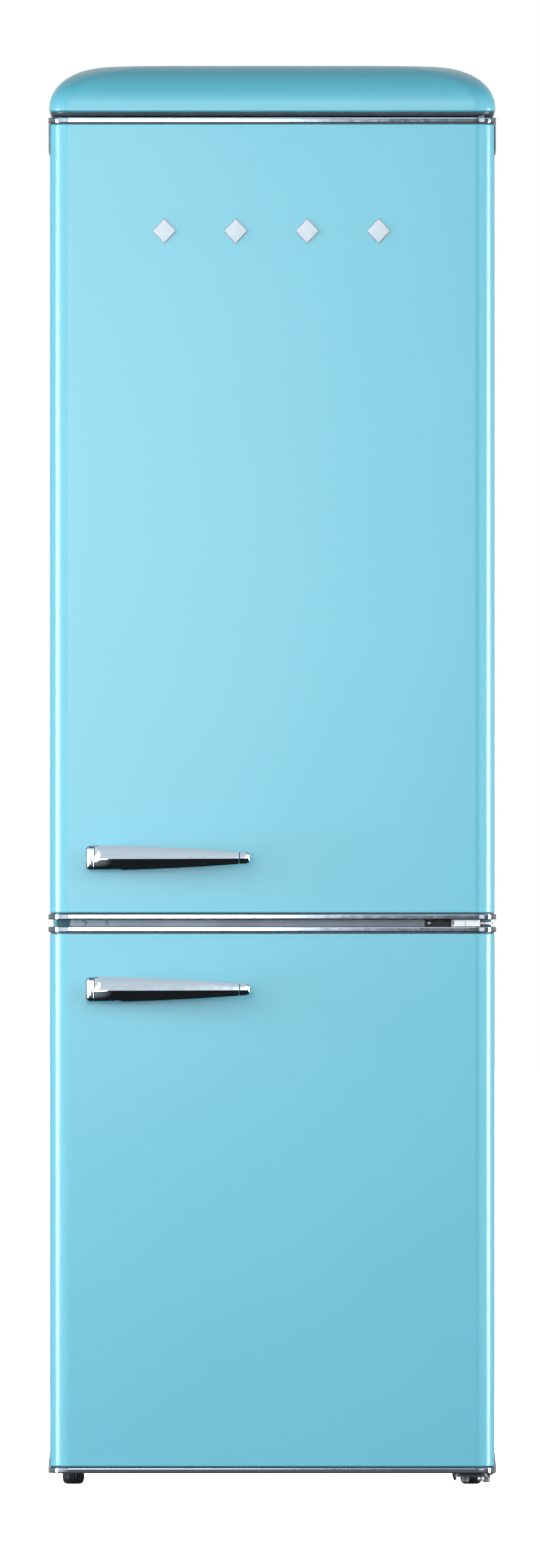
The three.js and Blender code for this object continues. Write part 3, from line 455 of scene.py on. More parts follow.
def light_room():
    """A pale room with a dark floor in front and a dark ceiling, seen as plain white by the camera."""
    world = bpy.data.worlds.new("studio_room")
    bpy.context.scene.world = world
    world.use_nodes = True
    tree = world.node_tree
    tree.nodes.clear()
    way = add(tree, "ShaderNodeTexCoord").outputs["Generated"]
    parts = add(tree, "ShaderNodeSeparateXYZ", {"Vector": way}).outputs
    whole, middle = {"From Min": -1, "From Max": 1}, {"From Min": -0.12, "From Max": 0.1}
    height = add(tree, "ShaderNodeMapRange", {"Value": parts["Z"]}, whole).outputs[0]
    side = add(tree, "ShaderNodeMapRange", {"Value": parts["Y"]}, middle).outputs[0]
    ahead, behind = room_tones(tree, height, ROOM_IN_FRONT), room_tones(tree, height, ROOM_BEHIND)
    room = add(tree, "ShaderNodeMix", {0: side, 6: ahead, 7: behind}, data_type="RGBA").outputs[2]
    seen = add(tree, "ShaderNodeLightPath").outputs["Is Camera Ray"]
    backdrop = add(tree, "ShaderNodeMix", {0: seen, 6: room}, {7: (1, 1, 1, 1)}, data_type="RGBA").outputs[2]
    glow = add(tree, "ShaderNodeBackground", {"Color": backdrop}, {"Strength": 1.0})
    add(tree, "ShaderNodeOutputWorld", {"Surface": glow.outputs[0]})


def lay_floor():
    """A plain white floor that glows a little, as a lit studio sweep does."""
    rim = lift(circle((0, 0), 60, 64), "z", 0)
    mesh = bpy.data.meshes.new("studio_floor")
    mesh.from_pydata([tuple(point) for point in rim], [], [tuple(range(len(rim)))])
    floor = bpy.data.objects.new("studio_floor", mesh)
    bpy.context.scene.collection.objects.link(floor)
    mesh.materials.append(surface("studio_floor", "#d8d8d8", 0.9, wear=(400, 0.85, 0.95),
                                  Emission_Color=(1, 1, 1, 1), Emission_Strength=1.0))
    floor.visible_glossy = floor.visible_diffuse = False


def light_studio():
    light_room()
    lay_floor()
    left_edge, right_edge = (-0.26, -0.25), (0.26, -0.25)
    softbox("key_softbox", (-0.55, -4.6, 1.2), (-0.55, 0, 1.2), (1.15, 1.3), 7.6)
    softbox("head_softbox", (0, -4.2, 3.0), (0, 0, 1.9), (1.8, 1.4), 2.4)
    softbox("overhead_softbox", (0, -2.4, 5.0), (0, -2.39, 0), (1.2, 7.2), 0.25)
    softbox("left_fill", (-2.1, -4.0, 1.1), (*left_edge, 1.1), (1.7, 2.2), 2.0)
    softbox("right_fill", (2.4, -2.8, 1.1), (*right_edge, 1.1), (1.7, 2.2), 1.8)
    softbox("left_wall", (-3.03, -2.4, 1.1), (*left_edge, 1.1), (1.9, 2.4), 1.6)
    softbox("left_strip", (-3.17, -0.98, 0.75), (*left_edge, 0.75), (0.7, 1.9), 20.0)
    softbox("right_strip", (3.26, -0.36, 0.75), (*right_edge, 0.75), (0.7, 1.9), 20.0)
    softbox("rear_softbox", (0, 5.2, 2.8), (0, 0.3, 0.9), (3.0, 3.0), 8.0, mirrored=False)
    bpy.context.scene.view_settings.view_transform = "Standard"


# ---- Roof ------------------------------------------------------------------------------------

SHOULDER = mm(1694)  # where the roof's side turns upright
DOME_INSET = mm(86)
DOME_POWER = 2.2
ROOF_WALL = mm(3)


def roof_ring(inset, z, back_inset):
    """One level of the roof, drawn in at the front and sides and upright at the back."""
    low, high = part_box("roof_cover")
    corner = mm(27) + 0.6 * inset
    back = mm(4)
    points = outline((low.x + inset, low.y + inset), (high.x - inset, high.y - back_inset),
                     (corner, corner, back, back), 14)
    return lift(points, "z", z)


def roof_dome(wall, levels=26):
    """The levels of the dome from its shoulder to its flat top, one wall's thickness in."""
    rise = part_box("roof_cover")[1].z - wall - SHOULDER
    rings = []
    for i in range(levels + 1):
        angle = i / levels * math.pi / 2
        inset = wall + DOME_INSET * (1 - math.cos(angle) ** (2 / DOME_POWER))
        rings.append(roof_ring(inset, SHOULDER + rise * math.sin(angle) ** (2 / DOME_POWER), wall))
    return rings


def build_roof():
    """The pressed roof, whose rim is rolled in under its shoulder, and the dark tray under its overhang."""
    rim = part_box("roof_cover")[0].z
    rolled = [(0.3, -0.5), (0.9, -1.2), (1.7, -1.9), (2.6, -2.3), (3.0, -2.0)]
    lip = [roof_ring(mm(inset), SHOULDER + mm(drop), mm(inset)) for inset, drop in rolled]
    shape = Shape().skin(list(reversed(roof_dome(ROOF_WALL, 8))) + list(reversed(lip)) + roof_dome(0))
    piece(shape, "roof_pressing", "cabinet", "enamel", ENAMEL, "roof_cover", angle=50)
    levels = [(3.2, 3.2), (1.6, 2.9), (1.9, 1.0), (2.6, -1.0), (3.6, -2.2)]
    tray = Shape().skin([roof_ring(mm(inset), rim + mm(up), mm(4)) for inset, up in levels])
    piece(tray, "roof_underside", "cabinet", "black_plastic", DARK_ABS, "roof_soffit")


# ---- Doors -----------------------------------------------------------------------------------

DOOR_RADIUS = mm(25)
SHEET = mm(1.2)


def door_section(node, inset, rear):
    """An open line round a door's two sides and its front, from its left rear to its right rear."""
    low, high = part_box(node)
    radius = DOOR_RADIUS - inset
    corners = [(low.x + inset, rear), (low.x + inset, DOOR_FACE + inset), (high.x - inset, DOOR_FACE + inset),
               (high.x - inset, rear)]
    return rounded(corners, radius, 18)


def build_door_skin(prefix):
    """The enamelled panel, wrapped round the upright front edges, with its cut edges rolled in."""
    node = f"{prefix}_door_skin"
    low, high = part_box(node)
    roll = mm(1.6)
    stations = []
    for i in range(5):
        angle = i / 4 * math.pi / 2
        stations.append((roll * (1 - math.sin(angle)) * 0.7, roll * (1 - math.cos(angle))))
    levels = [(inset, low.z + up) for inset, up in stations]
    levels += [(inset, high.z - up) for inset, up in reversed(stations)]
    rings = []
    for inset, z in levels:
        outside = door_section(node, inset, high.y)
        inside = door_section(node, SHEET, high.y)
        rings.append(lift(outside + list(reversed(inside)), "z", z))
    piece(Shape().skin(rings), f"{prefix}_door_panel", prefix + "_door", "enamel", ENAMEL, node)


def trim_ring(node, proud, z):
    """A level of an end cap, standing out of the door's plan at the front and sides."""
    low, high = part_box("upper_door_skin")
    corner = DOOR_RADIUS + proud
    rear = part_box(node)[1].y
    points = outline((low.x - proud, DOOR_FACE - proud), (high.x + proud, rear), (corner, corner, 0, 0), 16)
    return lift(points, "z", z)


def build_trim(prefix, end):
    """A plated bead round a dark cap, with a thin dark joint on the side of the enamelled panel."""
    node = f"{prefix}_door_{end}_trim"
    low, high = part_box(node)
    height, joint = mm(8), mm(1.5)
    sunk, depth, squareness = mm(0.9), mm(2.9), 7
    if end == "top":
        edge, inward = high.z, -1
    else:
        edge, inward = low.z, 1
    bead = []
    for i in range(21):
        t = (1 - math.cos(math.pi * i / 20)) / 2
        bulge = (1 - abs(2 * t - 1) ** squareness) ** (1 / squareness)
        bead.append(trim_ring(node, depth * bulge - sunk, edge + inward * t * (height - joint)))
    shape = Shape().skin(bead)
    shape.skin([trim_ring(node, -mm(0.7), edge + inward * (height - joint - mm(0.4))),
                trim_ring(node, -mm(0.5), edge + inward * (height - mm(0.1)))], finish=1)
    add_skirts(shape, prefix, end, edge, inward)
    finishes = [PLATED_STRIP, DARK_ABS, GREY_ABS]
    piece(shape, f"{prefix}_door_{end}_bead", prefix + "_door", "chrome_trim", finishes, node, angle=60)


def add_skirts(shape, prefix, end, edge, inward):
    """The short legs at both ends of the roof-side and floor-side beads, along the door's sides."""
    skin_low, skin_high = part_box("upper_door_skin")
    front, rear = -254, -222
    if (prefix, end) == ("upper", "top"):
        levels = [(0.2, 4, 0), (1.7, 5, 0), (1.7, 41, 0), (1.2, 45, 2), (0.2, 46, 5)]
    elif (prefix, end) == ("lower", "bottom"):
        levels = [(0.2, 3, 0), (2.0, 5, 0), (1.9, 9, 0), (1.1, 17, 1), (0.2, 25, 3)]
    else:
        return
    for side, face in ((-1, skin_low.x), (1, skin_high.x)):
        rings = []
        for proud, down, taper in levels:
            y0, y1 = mm(front + taper, rear - taper)
            z = edge + inward * mm(down)
            x0, x1 = face + side * mm(0.1), face + side * mm(max(proud, 0.15))
            rings.append([(x0, y0, z), (x1, y0 + mm(0.5), z), (x1, y1 - mm(0.5), z), (x0, y1, z)])
        shape.skin(rings, finish=2)


def build_gasket(prefix):
    """The magnetic seal: a hollow cushion with a bellows fold, mitred into one frame."""
    node = f"{prefix}_door_gasket"
    low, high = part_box(node)
    section = [(-16, 0.5), (-16, 2.0), (-14.2, 3.4), (-15, 5.0), (-14.5, 8.2), (-12.5, 9.2), (-4, 9.2),
               (-2, 8.2), (-1.5, 5.0), (-3, 3.6), (-0.2, 2.2), (0, 0.5), (-4, 0)]
    shape = Shape().frame((low.x, low.z), (high.x, high.z), mm(6),
                          [(mm(out), low.y + mm(y)) for out, y in section])
    piece(shape, f"{prefix}_door_seal", prefix + "_door", "seal_rubber", RUBBER, node, angle=60)


# ---- Handles ---------------------------------------------------------------------------------

LEVER_LENGTH = mm(202.6)
CAP_SEAM, TIP_SEAM = mm(11.3), mm(190.5)


def ease(share):
    """A share of the way, held within 0 and 1, that starts and ends gently."""
    share = min(1.0, max(0.0, share))
    return share * share * (3 - 2 * share)


def lever_section(x, grow=0.0):
    """The lever's section at a distance from its left end.

    It is creased along the front between two flats, and the crease fades into an oval by the cap.
    """
    u, steps = x / LEVER_LENGTH, 12

    def blunt(distance, radius):
        along = 1 - min(1.0, max(distance, 0.0) / radius)
        return math.sqrt(max(0.0, 1 - along**2))

    end = min(blunt(x, mm(6)), blunt(LEVER_LENGTH - x, mm(5)))
    tall = mm(15.6 - 9.1 * u**1.7) * (0.7 + 0.3 * end) + grow
    deep = mm(10 - 3 * u) * (0.3 + 0.7 * end) + grow
    middle = mm(16.86 + 23 * u)
    crease = -0.08 * tall
    above, below = math.tan(math.radians(20)), math.tan(math.radians(30))
    tip_fade = ease((LEVER_LENGTH - x) / mm(4))
    flat_above, flat_below = ease((x - mm(9)) / mm(6)) * tip_fade, ease((x - mm(12)) / mm(40)) * tip_fade
    above, below = min(above, 1.5 * deep / tall), min(below, 1.5 * deep / tall)

    def swell(ratio, power):
        """How far an oval of half depth 1 stands out at a share of its half height."""
        return (1 - min(1.0, abs(ratio)) ** power) ** (1 / power)

    points = []
    for k in range(2 * steps + 1):
        lower, share = k <= steps, k / steps if k <= steps else k / steps - 1
        up = -tall + (crease + tall) * share if lower else crease + (tall - crease) * share
        crown = 0.006 * tall * math.sin(math.pi * share)
        creased = flat_above if up >= crease else flat_below
        flat = deep - abs(up - crease) * (below if lower else above) + crown
        oval = deep * swell(up / tall, 4)
        points.append(Vector((x, -middle - (oval + (flat - oval) * creased), up)))
    for ratio in between(1, -1, steps + 1)[1:-1]:
        points.append(Vector((x, -middle + deep * swell(ratio, 2.3), tall * ratio)))
    return points


def lever_part(shape, first, last, place):
    """The stretch of the lever between two places, with its edges eased where it meets the next one."""
    eased = -mm(0.35)
    stations = between(first, last, 48)
    if first == 0:
        stations = [mm(v) for v in (0.02, 0.1, 0.35, 0.8, 1.5, 2.5, 3.8, 5.4, 7, 9)] + [last - mm(0.4), last]
    if last == LEVER_LENGTH:
        tip = [LEVER_LENGTH - mm(v) for v in (6, 4.4, 3.0, 1.9, 1.0, 0.45, 0.15, 0.02)]
        stations = [first, first + mm(0.4), first + mm(2.5)] + tip
    rings = [lever_section(first, eased)] if first else []
    rings += [lever_section(x) for x in stations]
    rings += [lever_section(last, eased)] if last < LEVER_LENGTH else []
    shape.skin([[point + place for point in ring] for ring in rings])


def build_handle(prefix):
    """A cast lever between a mounting cap and a ferrule tip, each parted from it by a dark hairline."""
    low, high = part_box(f"{prefix}_handle_mount")
    place = Vector((low.x, DOOR_FACE, (low.z + high.z) / 2))
    gap = mm(1.5)
    mount = Shape()
    lever_part(mount, 0, CAP_SEAM - gap, place)
    foot = [(0.0, 22.5), (-1.5, 16.0), (-1.5, 3.0), (0.6, 1.0), (2.0, 0.3)]
    centre = (place.x + mm(22), place.z)
    half = (mm(18), mm(11))
    rings = []
    for grow, out in foot:
        g = mm(grow)
        points = outline((centre[0] - half[0] - g, centre[1] - half[1] - g),
                         (centre[0] + half[0] + g, centre[1] + half[1] + g), mm(8), 8)
        rings.append(lift(points, "y", DOOR_FACE - mm(out)))
    mount.skin(rings)
    door = prefix + "_door"
    piece(mount, f"{prefix}_handle_cap", door, "chrome_trim", CHROME, f"{prefix}_handle_mount", angle=28)
    lever = Shape()
    lever_part(lever, CAP_SEAM, TIP_SEAM - gap, place)
    lever_part(lever, TIP_SEAM, LEVER_LENGTH, place)
    for seam in (CAP_SEAM, TIP_SEAM):
        rings = [lever_section(seam + offset, -mm(0.7)) for offset in (-mm(1.2), mm(1.2))]
        lever.skin([[point + place for point in ring] for ring in rings], finish=1)
    piece(lever, f"{prefix}_handle_grip", door, "chrome_trim", [CHROME, BLACK_ABS], f"{prefix}_handle_lever",
          angle=28)


# ---- Badge -----------------------------------------------------------------------------------


def build_badge():
    """Four plain cushion-topped diamonds in a row."""
    low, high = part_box("badge")
    half_width, half_height = mm(15), (high.z - low.z) / 2
    middle_z = (low.z + high.z) / 2
    middles = between(low.x + half_width, high.x - half_width, 4)
    shape = Shape()
    for x in middles:
        rings = []
        for scale, out in ((0.96, 0.1), (1.0, 0.5), (1.0, 1.5), (0.9, 2.2), (0.45, 2.55)):
            corners = [(x, middle_z - half_height * scale), (x + half_width * scale, middle_z),
                       (x, middle_z + half_height * scale), (x - half_width * scale, middle_z)]
            rings.append(lift(corners, "y", DOOR_FACE - mm(out)))
        shape.skin(rings)
    piece(shape, "diamond_badge", "upper_door", "silver", NICKEL, "badge", bevel=mm(0.3), angle=25)


# ---- Gap between the doors -------------------------------------------------------------------


def build_mullion():
    """The grey strip behind the gap, with two low plugs in the spare hinge holes."""
    low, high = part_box("mullion_cover")
    front = low.y + mm(1)
    gap = gap_middle()
    shape = Shape().slab((low.x, front, low.z), (high.x, high.y, high.z))
    plug = [(0, -0.22), (2.4, -0.2), (3.1, -0.1), (3.4, 0), (3.4, 0.6)]
    for x in mm(-232, -205):
        shape.turned(plug, (x, front, gap), "y", steps=20)
    # An end cover hides the spare hinge's screw holes in the cabinet's edge; its dark teal is the enamel's
    # colour with the gap's shade painted in.
    cover_left, half_height = mm(-266), mm(13)
    shape.slab((cover_left, high.y - mm(2.2), gap - half_height),
               (low.x - mm(0.5), high.y + mm(0.6), gap + half_height), finish=1)
    piece(shape, "mullion_strip", "cabinet", "grey_plastic", [GREY_PAINT, PAINTED_SHADE_TEAL], "mullion_cover",
          bevel=mm(0.3))


def gap_middle():
    return (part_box("lower_door_top_trim")[1].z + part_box("upper_door_bottom_trim")[0].z) / 2


def hexagon(middle, across):
    return circle(middle, across / 2 / math.cos(math.pi / 6), 6)


def build_middle_hinge():
    """The plated tongue and back plate, with screws, a black packing block and the pin in its white bush."""
    low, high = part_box("middle_hinge")
    z = gap_middle()
    pin = hinge_axis()
    half_tongue, half_plate, face = mm(1.5), mm(8.8), high.y - mm(2)
    tongue = outline((mm(222), low.y), (high.x, mm(-204.5)), (mm(12), mm(12), 0, 0), 6)
    shape = Shape().prism(tongue, "z", z - half_tongue, z + half_tongue)
    shape.slab((low.x, face, z - half_plate), (mm(262), high.y, z + half_plate))
    screw = [(0, -2.4), (2.0, -2.3), (3.0, -1.8), (3.4, -1), (3.4, 0.8)]
    for x in mm(194.5, 214.5):
        shape.turned(screw, (x, face, z), "y", steps=18)
    shape.turned([(4, -22), (4, 22)], (*pin, z), steps=24)
    collar = [(4.6, -4.4), (5, -4), (5, 4), (4.6, 4.4)]
    shape.turned(collar, (*pin, z), finish=1)
    block, washer = mm(6.8), mm(8.4)
    shape.slab((mm(202), high.y - mm(9), z - block), (mm(219), face, z + block), finish=1)
    shape.slab((low.x + mm(0.4), high.y - mm(3), z - washer), (mm(221), high.y - mm(1.8), z + washer),
               finish=1)
    piece(shape, "middle_hinge_plate", "cabinet", "zinc_steel", [ZINC, BLACK_ABS], "middle_hinge",
          bevel=mm(0.4))
    low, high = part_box("middle_hinge_bush")
    bush = Shape()
    clear = half_tongue + mm(0.2)
    for x0, x1 in ((low.x, low.x + mm(13.4)), (low.x + mm(13.9), high.x)):
        for z0, z1 in ((low.z, z - clear), (z + clear, high.z)):
            bush.slab((x0, low.y, z0), (x1, high.y, z1))
        bush.slab((x0, low.y, z - mm(2)), (x1, low.y + mm(3.4), z + mm(2)))
    piece(bush, "middle_hinge_packing", "cabinet", "white_plastic", WHITE_ABS, "middle_hinge_bush",
          bevel=mm(0.5))


def hinge_axis():
    """The x and y of the axis that both doors turn on."""
    place = [joint for joint in frame["joints"] if joint["name"] == "upper_door_hinge"][0]["pos_m"]
    return place[0], place[1]


# ---- Bottom hinge and feet -------------------------------------------------------------------


def build_bottom_hinge():
    """A cranked bracket of two layers, with two flanged hexagon bolts, a pin boss and a turned-up ear."""
    low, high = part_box("bottom_hinge")
    pin = hinge_axis()
    plate, left, right, crank = mm(10.5), mm(222), mm(268), mm(-190)
    tongue = outline((left, low.y), (right, crank), (mm(12), mm(12), 0, 0), 6)
    upper = outline((left + mm(2), low.y + mm(4)), (right - mm(2), crank), (mm(10), mm(10), 0, 0), 6)
    shape = Shape().prism(tongue, "z", plate, plate + mm(2.0))
    shape.prism(upper, "z", plate + mm(1.6), plate + mm(4.0))
    shape.slab((left, crank - mm(3), plate), (right, crank, high.z - mm(20.3)))
    shape.slab((left, crank - mm(3), mm(16.7)), (right, mm(-148), mm(19.7)))
    ear = [(260, 0), (264.5, 0), (273, 3.4), (271.8, 4.0), (262, 2)]
    tab = [(222, 2), (222.6, -1), (224, -4.6), (226.4, -4.6), (227.5, 1)]
    for points, near, far in ((ear, mm(-250), mm(-222)), (tab, mm(-238), mm(-229))):
        shape.prism([(mm(x), plate + mm(up)) for x, up in points], "y", near, far)
    # The bracket's darker zinc is painted shade, standing in for the shadow under the cabinet.
    piece(shape, "bottom_hinge_bracket", "cabinet", "zinc_steel", PAINTED_SHADE_ZINC, "bottom_hinge", bevel=mm(0.4))
    fixings = Shape()
    flange = [(0, 0), (5.0, 0), (5.3, -0.5), (5.0, -1.1), (4.0, -1.3)]
    for x in mm(238, 264):
        place = (x, mm(-222), plate)
        fixings.turned(flange, place)
        head = ((7.8, 1.0), (7.8, 6.4), (6.8, 7.2), (4.0, 7.5))
        fixings.skin([lift(hexagon(place[:2], mm(width)), "z", plate - mm(down)) for width, down in head])
    boss = [(0, -5), (2.6, -5), (3.7, -4.2), (4.0, -3), (4.0, 29)]
    fixings.turned(boss, (*pin, plate))
    piece(fixings, "bottom_hinge_fixings", "cabinet", "zinc_steel", ZINC, angle=30)


def build_foot(side):
    """A black screw foot whose rim is ribbed for the fingers and whose sole is slightly domed."""
    node = f"{side}_levelling_foot"
    low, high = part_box(node)
    middle = (low + high) / 2
    radius = (high.x - low.x) / 2
    ribs = 26
    steps = ribs * 4
    rings = []
    levels = ((0.62, 0, 0), (0.82, 1.2, 0.2), (0.95, 4, 0.7), (1.0, 7, 1), (1.0, 15, 1), (0.93, 16, 0.3))
    for share, z, depth in levels:
        ring = []
        for i in range(steps):
            angle = 2 * math.pi * i / steps
            cut = mm(0.9) * depth * (1 if i % 4 in (0, 1) else 0)
            ring.append((middle.x + (radius * share - cut) * math.cos(angle),
                         middle.y + (radius * share - cut) * math.sin(angle), low.z + mm(z)))
        rings.append(ring)
    shape = Shape().skin(rings)
    thread, pitch, start = [(4, 15.5)], 1.75, 16
    for i in range(int((high.z / mm(1) - 17) / pitch)):
        thread += [(4.2, start + i * pitch), (3.4, start + (i + 0.5) * pitch)]
    shape.turned(thread + [(3.2, high.z / mm(1))], (middle.x, middle.y, 0), finish=1, steps=18)
    piece(shape, f"{side}_screw_foot", f"{side}_foot", "black_plastic", [BLACK_ABS, ZINC], node, angle=30)


def build_roller(side):
    """A moulded roller with a tread, a web with five windows' ribs, and a hub round the axle."""
    node = f"{side}_rear_roller"
    low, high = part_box(node)
    middle = (low + high) / 2
    radius, half = (high.z - low.z) / 2, (high.x - low.x) / 2
    tread = [(radius - mm(3), -half + mm(1)), (radius - mm(1.2), -half), (radius, -half + mm(2)),
             (radius, half - mm(2)), (radius - mm(1.2), half), (radius - mm(3), half - mm(1))]
    web = [(mm(7), mm(2)), (mm(7), half), (mm(3.4), half), (mm(3.4), -half), (mm(7), -half), (mm(7), -mm(2))]
    order = [(radius - mm(3), -mm(2))] + tread + [(radius - mm(3), mm(2))] + web
    rings = [[p + middle for p in lift(circle((0, 0), r, 40), "x", along)] for r, along in order]
    shape = Shape().skin(rings, loop=True)
    for i in range(5):
        angle = 2 * math.pi * i / 5
        spoke = Matrix.Rotation(angle, 4, "X")
        corners = [(-half + mm(1.5), -mm(1), mm(6.5)), (half - mm(1.5), mm(1), radius - mm(2.5))]
        block = Shape().slab(*corners)
        base = len(shape.points)
        shape.points += [spoke @ p + middle for p in block.points]
        shape.faces += [tuple(base + v for v in face) for face in block.faces]
        shape.finishes += block.finishes
    piece(shape, f"{side}_roller_wheel", f"{side}_roller", "black_plastic", BLACK_ABS, node, angle=30)


# ---- Inside the compartments -----------------------------------------------------------------

LINER = mm(1.7)


def formed_tub(shape, outline_points, axis, low, high, open_points=False):
    """The inner faces of a cavity: flat points drawn along an axis, closed at the far end or both ends."""
    ring_low, ring_high = lift(outline_points, axis, low), lift(outline_points, axis, high)
    shape.skin([ring_low, ring_high], ends=False, around=not open_points)
    base = len(shape.points) - 2 * len(outline_points)
    count = len(outline_points)
    shape.faces.append(tuple(base + count + i for i in range(count)))
    shape.finishes.append(0)
    if open_points:
        shape.faces.append(tuple(base + i for i in reversed(range(count))))
        shape.finishes.append(0)


def build_compartment(kind, cavity, corner_radius, opening, opening_radius, ledges):
    """One vacuum-formed compartment: its cavity, and a flat lip round the opening that carries the ledges."""
    sheet = ("cabinet", "white_plastic", WHITE_SHEET)
    liner = piece(cavity, f"{kind}_compartment", *sheet, f"{kind}_liner", wall=mm(1.2), angle=40)
    round_inside(liner, corner_radius)
    low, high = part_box(f"{kind}_liner")
    outer, inner = outline((low.x, low.z), (high.x, high.z), mm(3), 8), outline(*opening, opening_radius, 8)
    front, rear = low.y + mm(0.2), low.y + mm(1.4)
    ring = [lift(flat, "y", y) for flat, y in ((outer, rear), (outer, front), (inner, front), (inner, rear))]
    lip = Shape().skin(ring, loop=True)
    for inner_x, outer_x, y0, y1, top, thickness in ledges:
        for side in (-1, 1):
            x0, x1 = sorted((side * inner_x, side * outer_x))
            lip.slab((x0, y0, top - thickness), (x1, y1, top))
    piece(lip, f"{kind}_lip", *sheet, bevel=mm(0.8))


def build_liners():
    """The two compartments, with rounded corners and moulded ledges."""
    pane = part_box("glass_shelf_1")[1].x
    half, edge = pane + mm(4), pane + mm(5)
    low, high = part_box("fridge_liner")
    floor_z, top_z = low.z + LINER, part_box("control_box")[1].z + mm(0.3)
    opening = (-half, floor_z), (half, top_z)
    cavity = Shape()
    formed_tub(cavity, outline(*opening, mm(18), 8), "y", low.y + mm(1), high.y - LINER)
    shelves = ("glass_shelf_1", "glass_shelf_2", "glass_shelf_3", "crisper_cover")
    ledges = [(pane - mm(4), edge, *mm(-90, 215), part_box(shelf)[0].z - mm(0.3), mm(4)) for shelf in shelves]
    ledges += [(half - mm(3), edge, *mm(-80, 215), z, mm(3)) for z in mm(1020, 1200, 1380)]
    build_compartment("fridge", cavity, mm(14), opening, mm(18), ledges)

    low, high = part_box("freezer_liner")
    floor_z, top_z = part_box("freezer_drawer_bottom")[0].z - mm(0.3), high.z - LINER
    front, back = low.y + mm(1), high.y - LINER
    step_y, step_z = mm(65), mm(295)
    side = [(front, floor_z), (step_y, floor_z), (step_y, step_z), (back, step_z), (back, top_z),
            (front, top_z)]
    cavity = Shape()
    formed_tub(cavity, side, "x", -half, half, open_points=True)
    ledges = [(mm(190), edge, *mm(-170, 150), z, mm(5)) for z in mm(299.7, 475.7)]
    opening = (-half, floor_z), (half, top_z)
    build_compartment("freezer", cavity, mm(12), opening, mm(10), ledges)


def round_inside(liner, radius):
    """Rounds a cavity's inner corners before the sheet is thickened outwards."""
    edge = liner.modifiers.new("formed_corners", "BEVEL")
    edge.width, edge.segments = radius, 5
    edge.limit_method, edge.angle_limit = "ANGLE", math.radians(40)
    order = list(liner.modifiers)
    liner.modifiers.move(len(order) - 1, 0)


def build_shelves():
    """Toughened panes with a moulded front rail, its bright strip, and a rear stop."""
    for i in (1, 2, 3):
        carry_over(f"glass_shelf_{i}", GLASS, mm(0.8))
        carry_over(f"shelf_rail_{i}", WHITE_ABS, mm(1.5), 3)
        low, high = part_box(f"shelf_rail_{i}")
        strip = Shape().slab((low.x + mm(6), low.y - mm(1.2), low.z + mm(5)),
                             (high.x - mm(6), low.y + mm(0.6), high.z - mm(4)), round_off=mm(2), axis="y")
        piece(strip, f"shelf_rail_strip_{i}", "cabinet", "chrome_trim", CHROME, bevel=mm(0.5))
        pane_low, pane_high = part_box(f"glass_shelf_{i}")
        stop = Shape().slab((pane_low.x + mm(6), pane_high.y + mm(0.3), pane_low.z - mm(3)),
                            (pane_high.x - mm(6), pane_high.y + mm(9), pane_high.z + mm(8)))
        piece(stop, f"shelf_rear_stop_{i}", "cabinet", "white_plastic", WHITE_ABS, bevel=mm(1.5))
    carry_over("crisper_cover", GLASS, mm(0.8))
    low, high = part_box("crisper_cover")
    strip = Shape().slab((low.x + mm(2), low.y - mm(3), low.z - mm(2)),
                         (high.x - mm(2), low.y - mm(0.2), high.z + mm(3)))
    piece(strip, "crisper_cover_edge", "cabinet", "white_plastic", WHITE_ABS, bevel=mm(1.2))


def tray_rings(low, high, radii, wall, draft):
    """The levels of an open tray, up its outside, over its rim and down its inside to the floor."""
    depth = high.z - low.z

    def level(inset, z):
        corners = (low.x + inset, low.y + inset), (high.x - inset, high.y - inset)
        return lift(outline(*corners, [max(r - inset, mm(1)) for r in radii], 8), "z", z)

    outside = [(draft + mm(3), 0.0), (draft + mm(0.9), mm(0.9)), (draft, mm(3)), (0, depth - mm(0.8)),
               (mm(0.3), depth - mm(0.1)), (mm(0.9), depth)]
    inside = [(wall - mm(0.5), depth), (wall, depth - mm(0.6)), (draft + wall, wall + mm(3)),
              (draft + wall + mm(1), wall + mm(0.9)), (draft + wall + mm(3.2), wall)]
    return [level(inset, low.z + up) for inset, up in outside + inside]


def build_drawer(node, body, name, ribs):
    """A clear drawer with a drafted tray, a moulded front with a finger bar, and ribs along its sides."""
    low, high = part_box(node)
    tray_front = low.y + mm(8)
    corner = mm(14)
    tray_low = Vector((low.x, tray_front, low.z))
    shape = Shape().skin(tray_rings(tray_low, high, (mm(6), mm(6), corner, corner), mm(2.4), mm(3)))
    front = outline((low.x + mm(2), low.z + mm(4)), (high.x - mm(2), high.z - mm(2)), mm(7), 5)
    shape.prism(front, "y", tray_front - mm(0.8), tray_front + mm(1.6))
    grip = mm(84)
    shape.slab((-grip, low.y, high.z - mm(18)), (grip, tray_front + mm(1), high.z - mm(12)),
               round_off=mm(2.6), axis="x")
    shape.slab((-grip, low.y, high.z - mm(27)), (grip, low.y + mm(2.5), high.z - mm(13)))
    for y in between(tray_front + mm(40), high.y - mm(40), ribs):
        for x in (low.x, high.x):
            inward = mm(1.4) if x < 0 else -mm(1.4)
            x0, x1 = sorted((x + inward * 0.2, x + inward * 2.2))
            shape.slab((x0, y - mm(1.5), low.z + mm(14)), (x1, y + mm(1.5), high.z - mm(10)))
    piece(shape, name, body, "clear_plastic", CLEAR, node, bevel=mm(0.5), angle=50)


def build_drawers():
    build_drawer("crisper_drawer", "crisper", "crisper_bin", 5)
    for letter, level in zip("abc", ("top", "middle", "bottom")):
        build_drawer(f"freezer_drawer_{level}", f"freezer_drawer_{letter}", f"freezer_bin_{level}", 5)


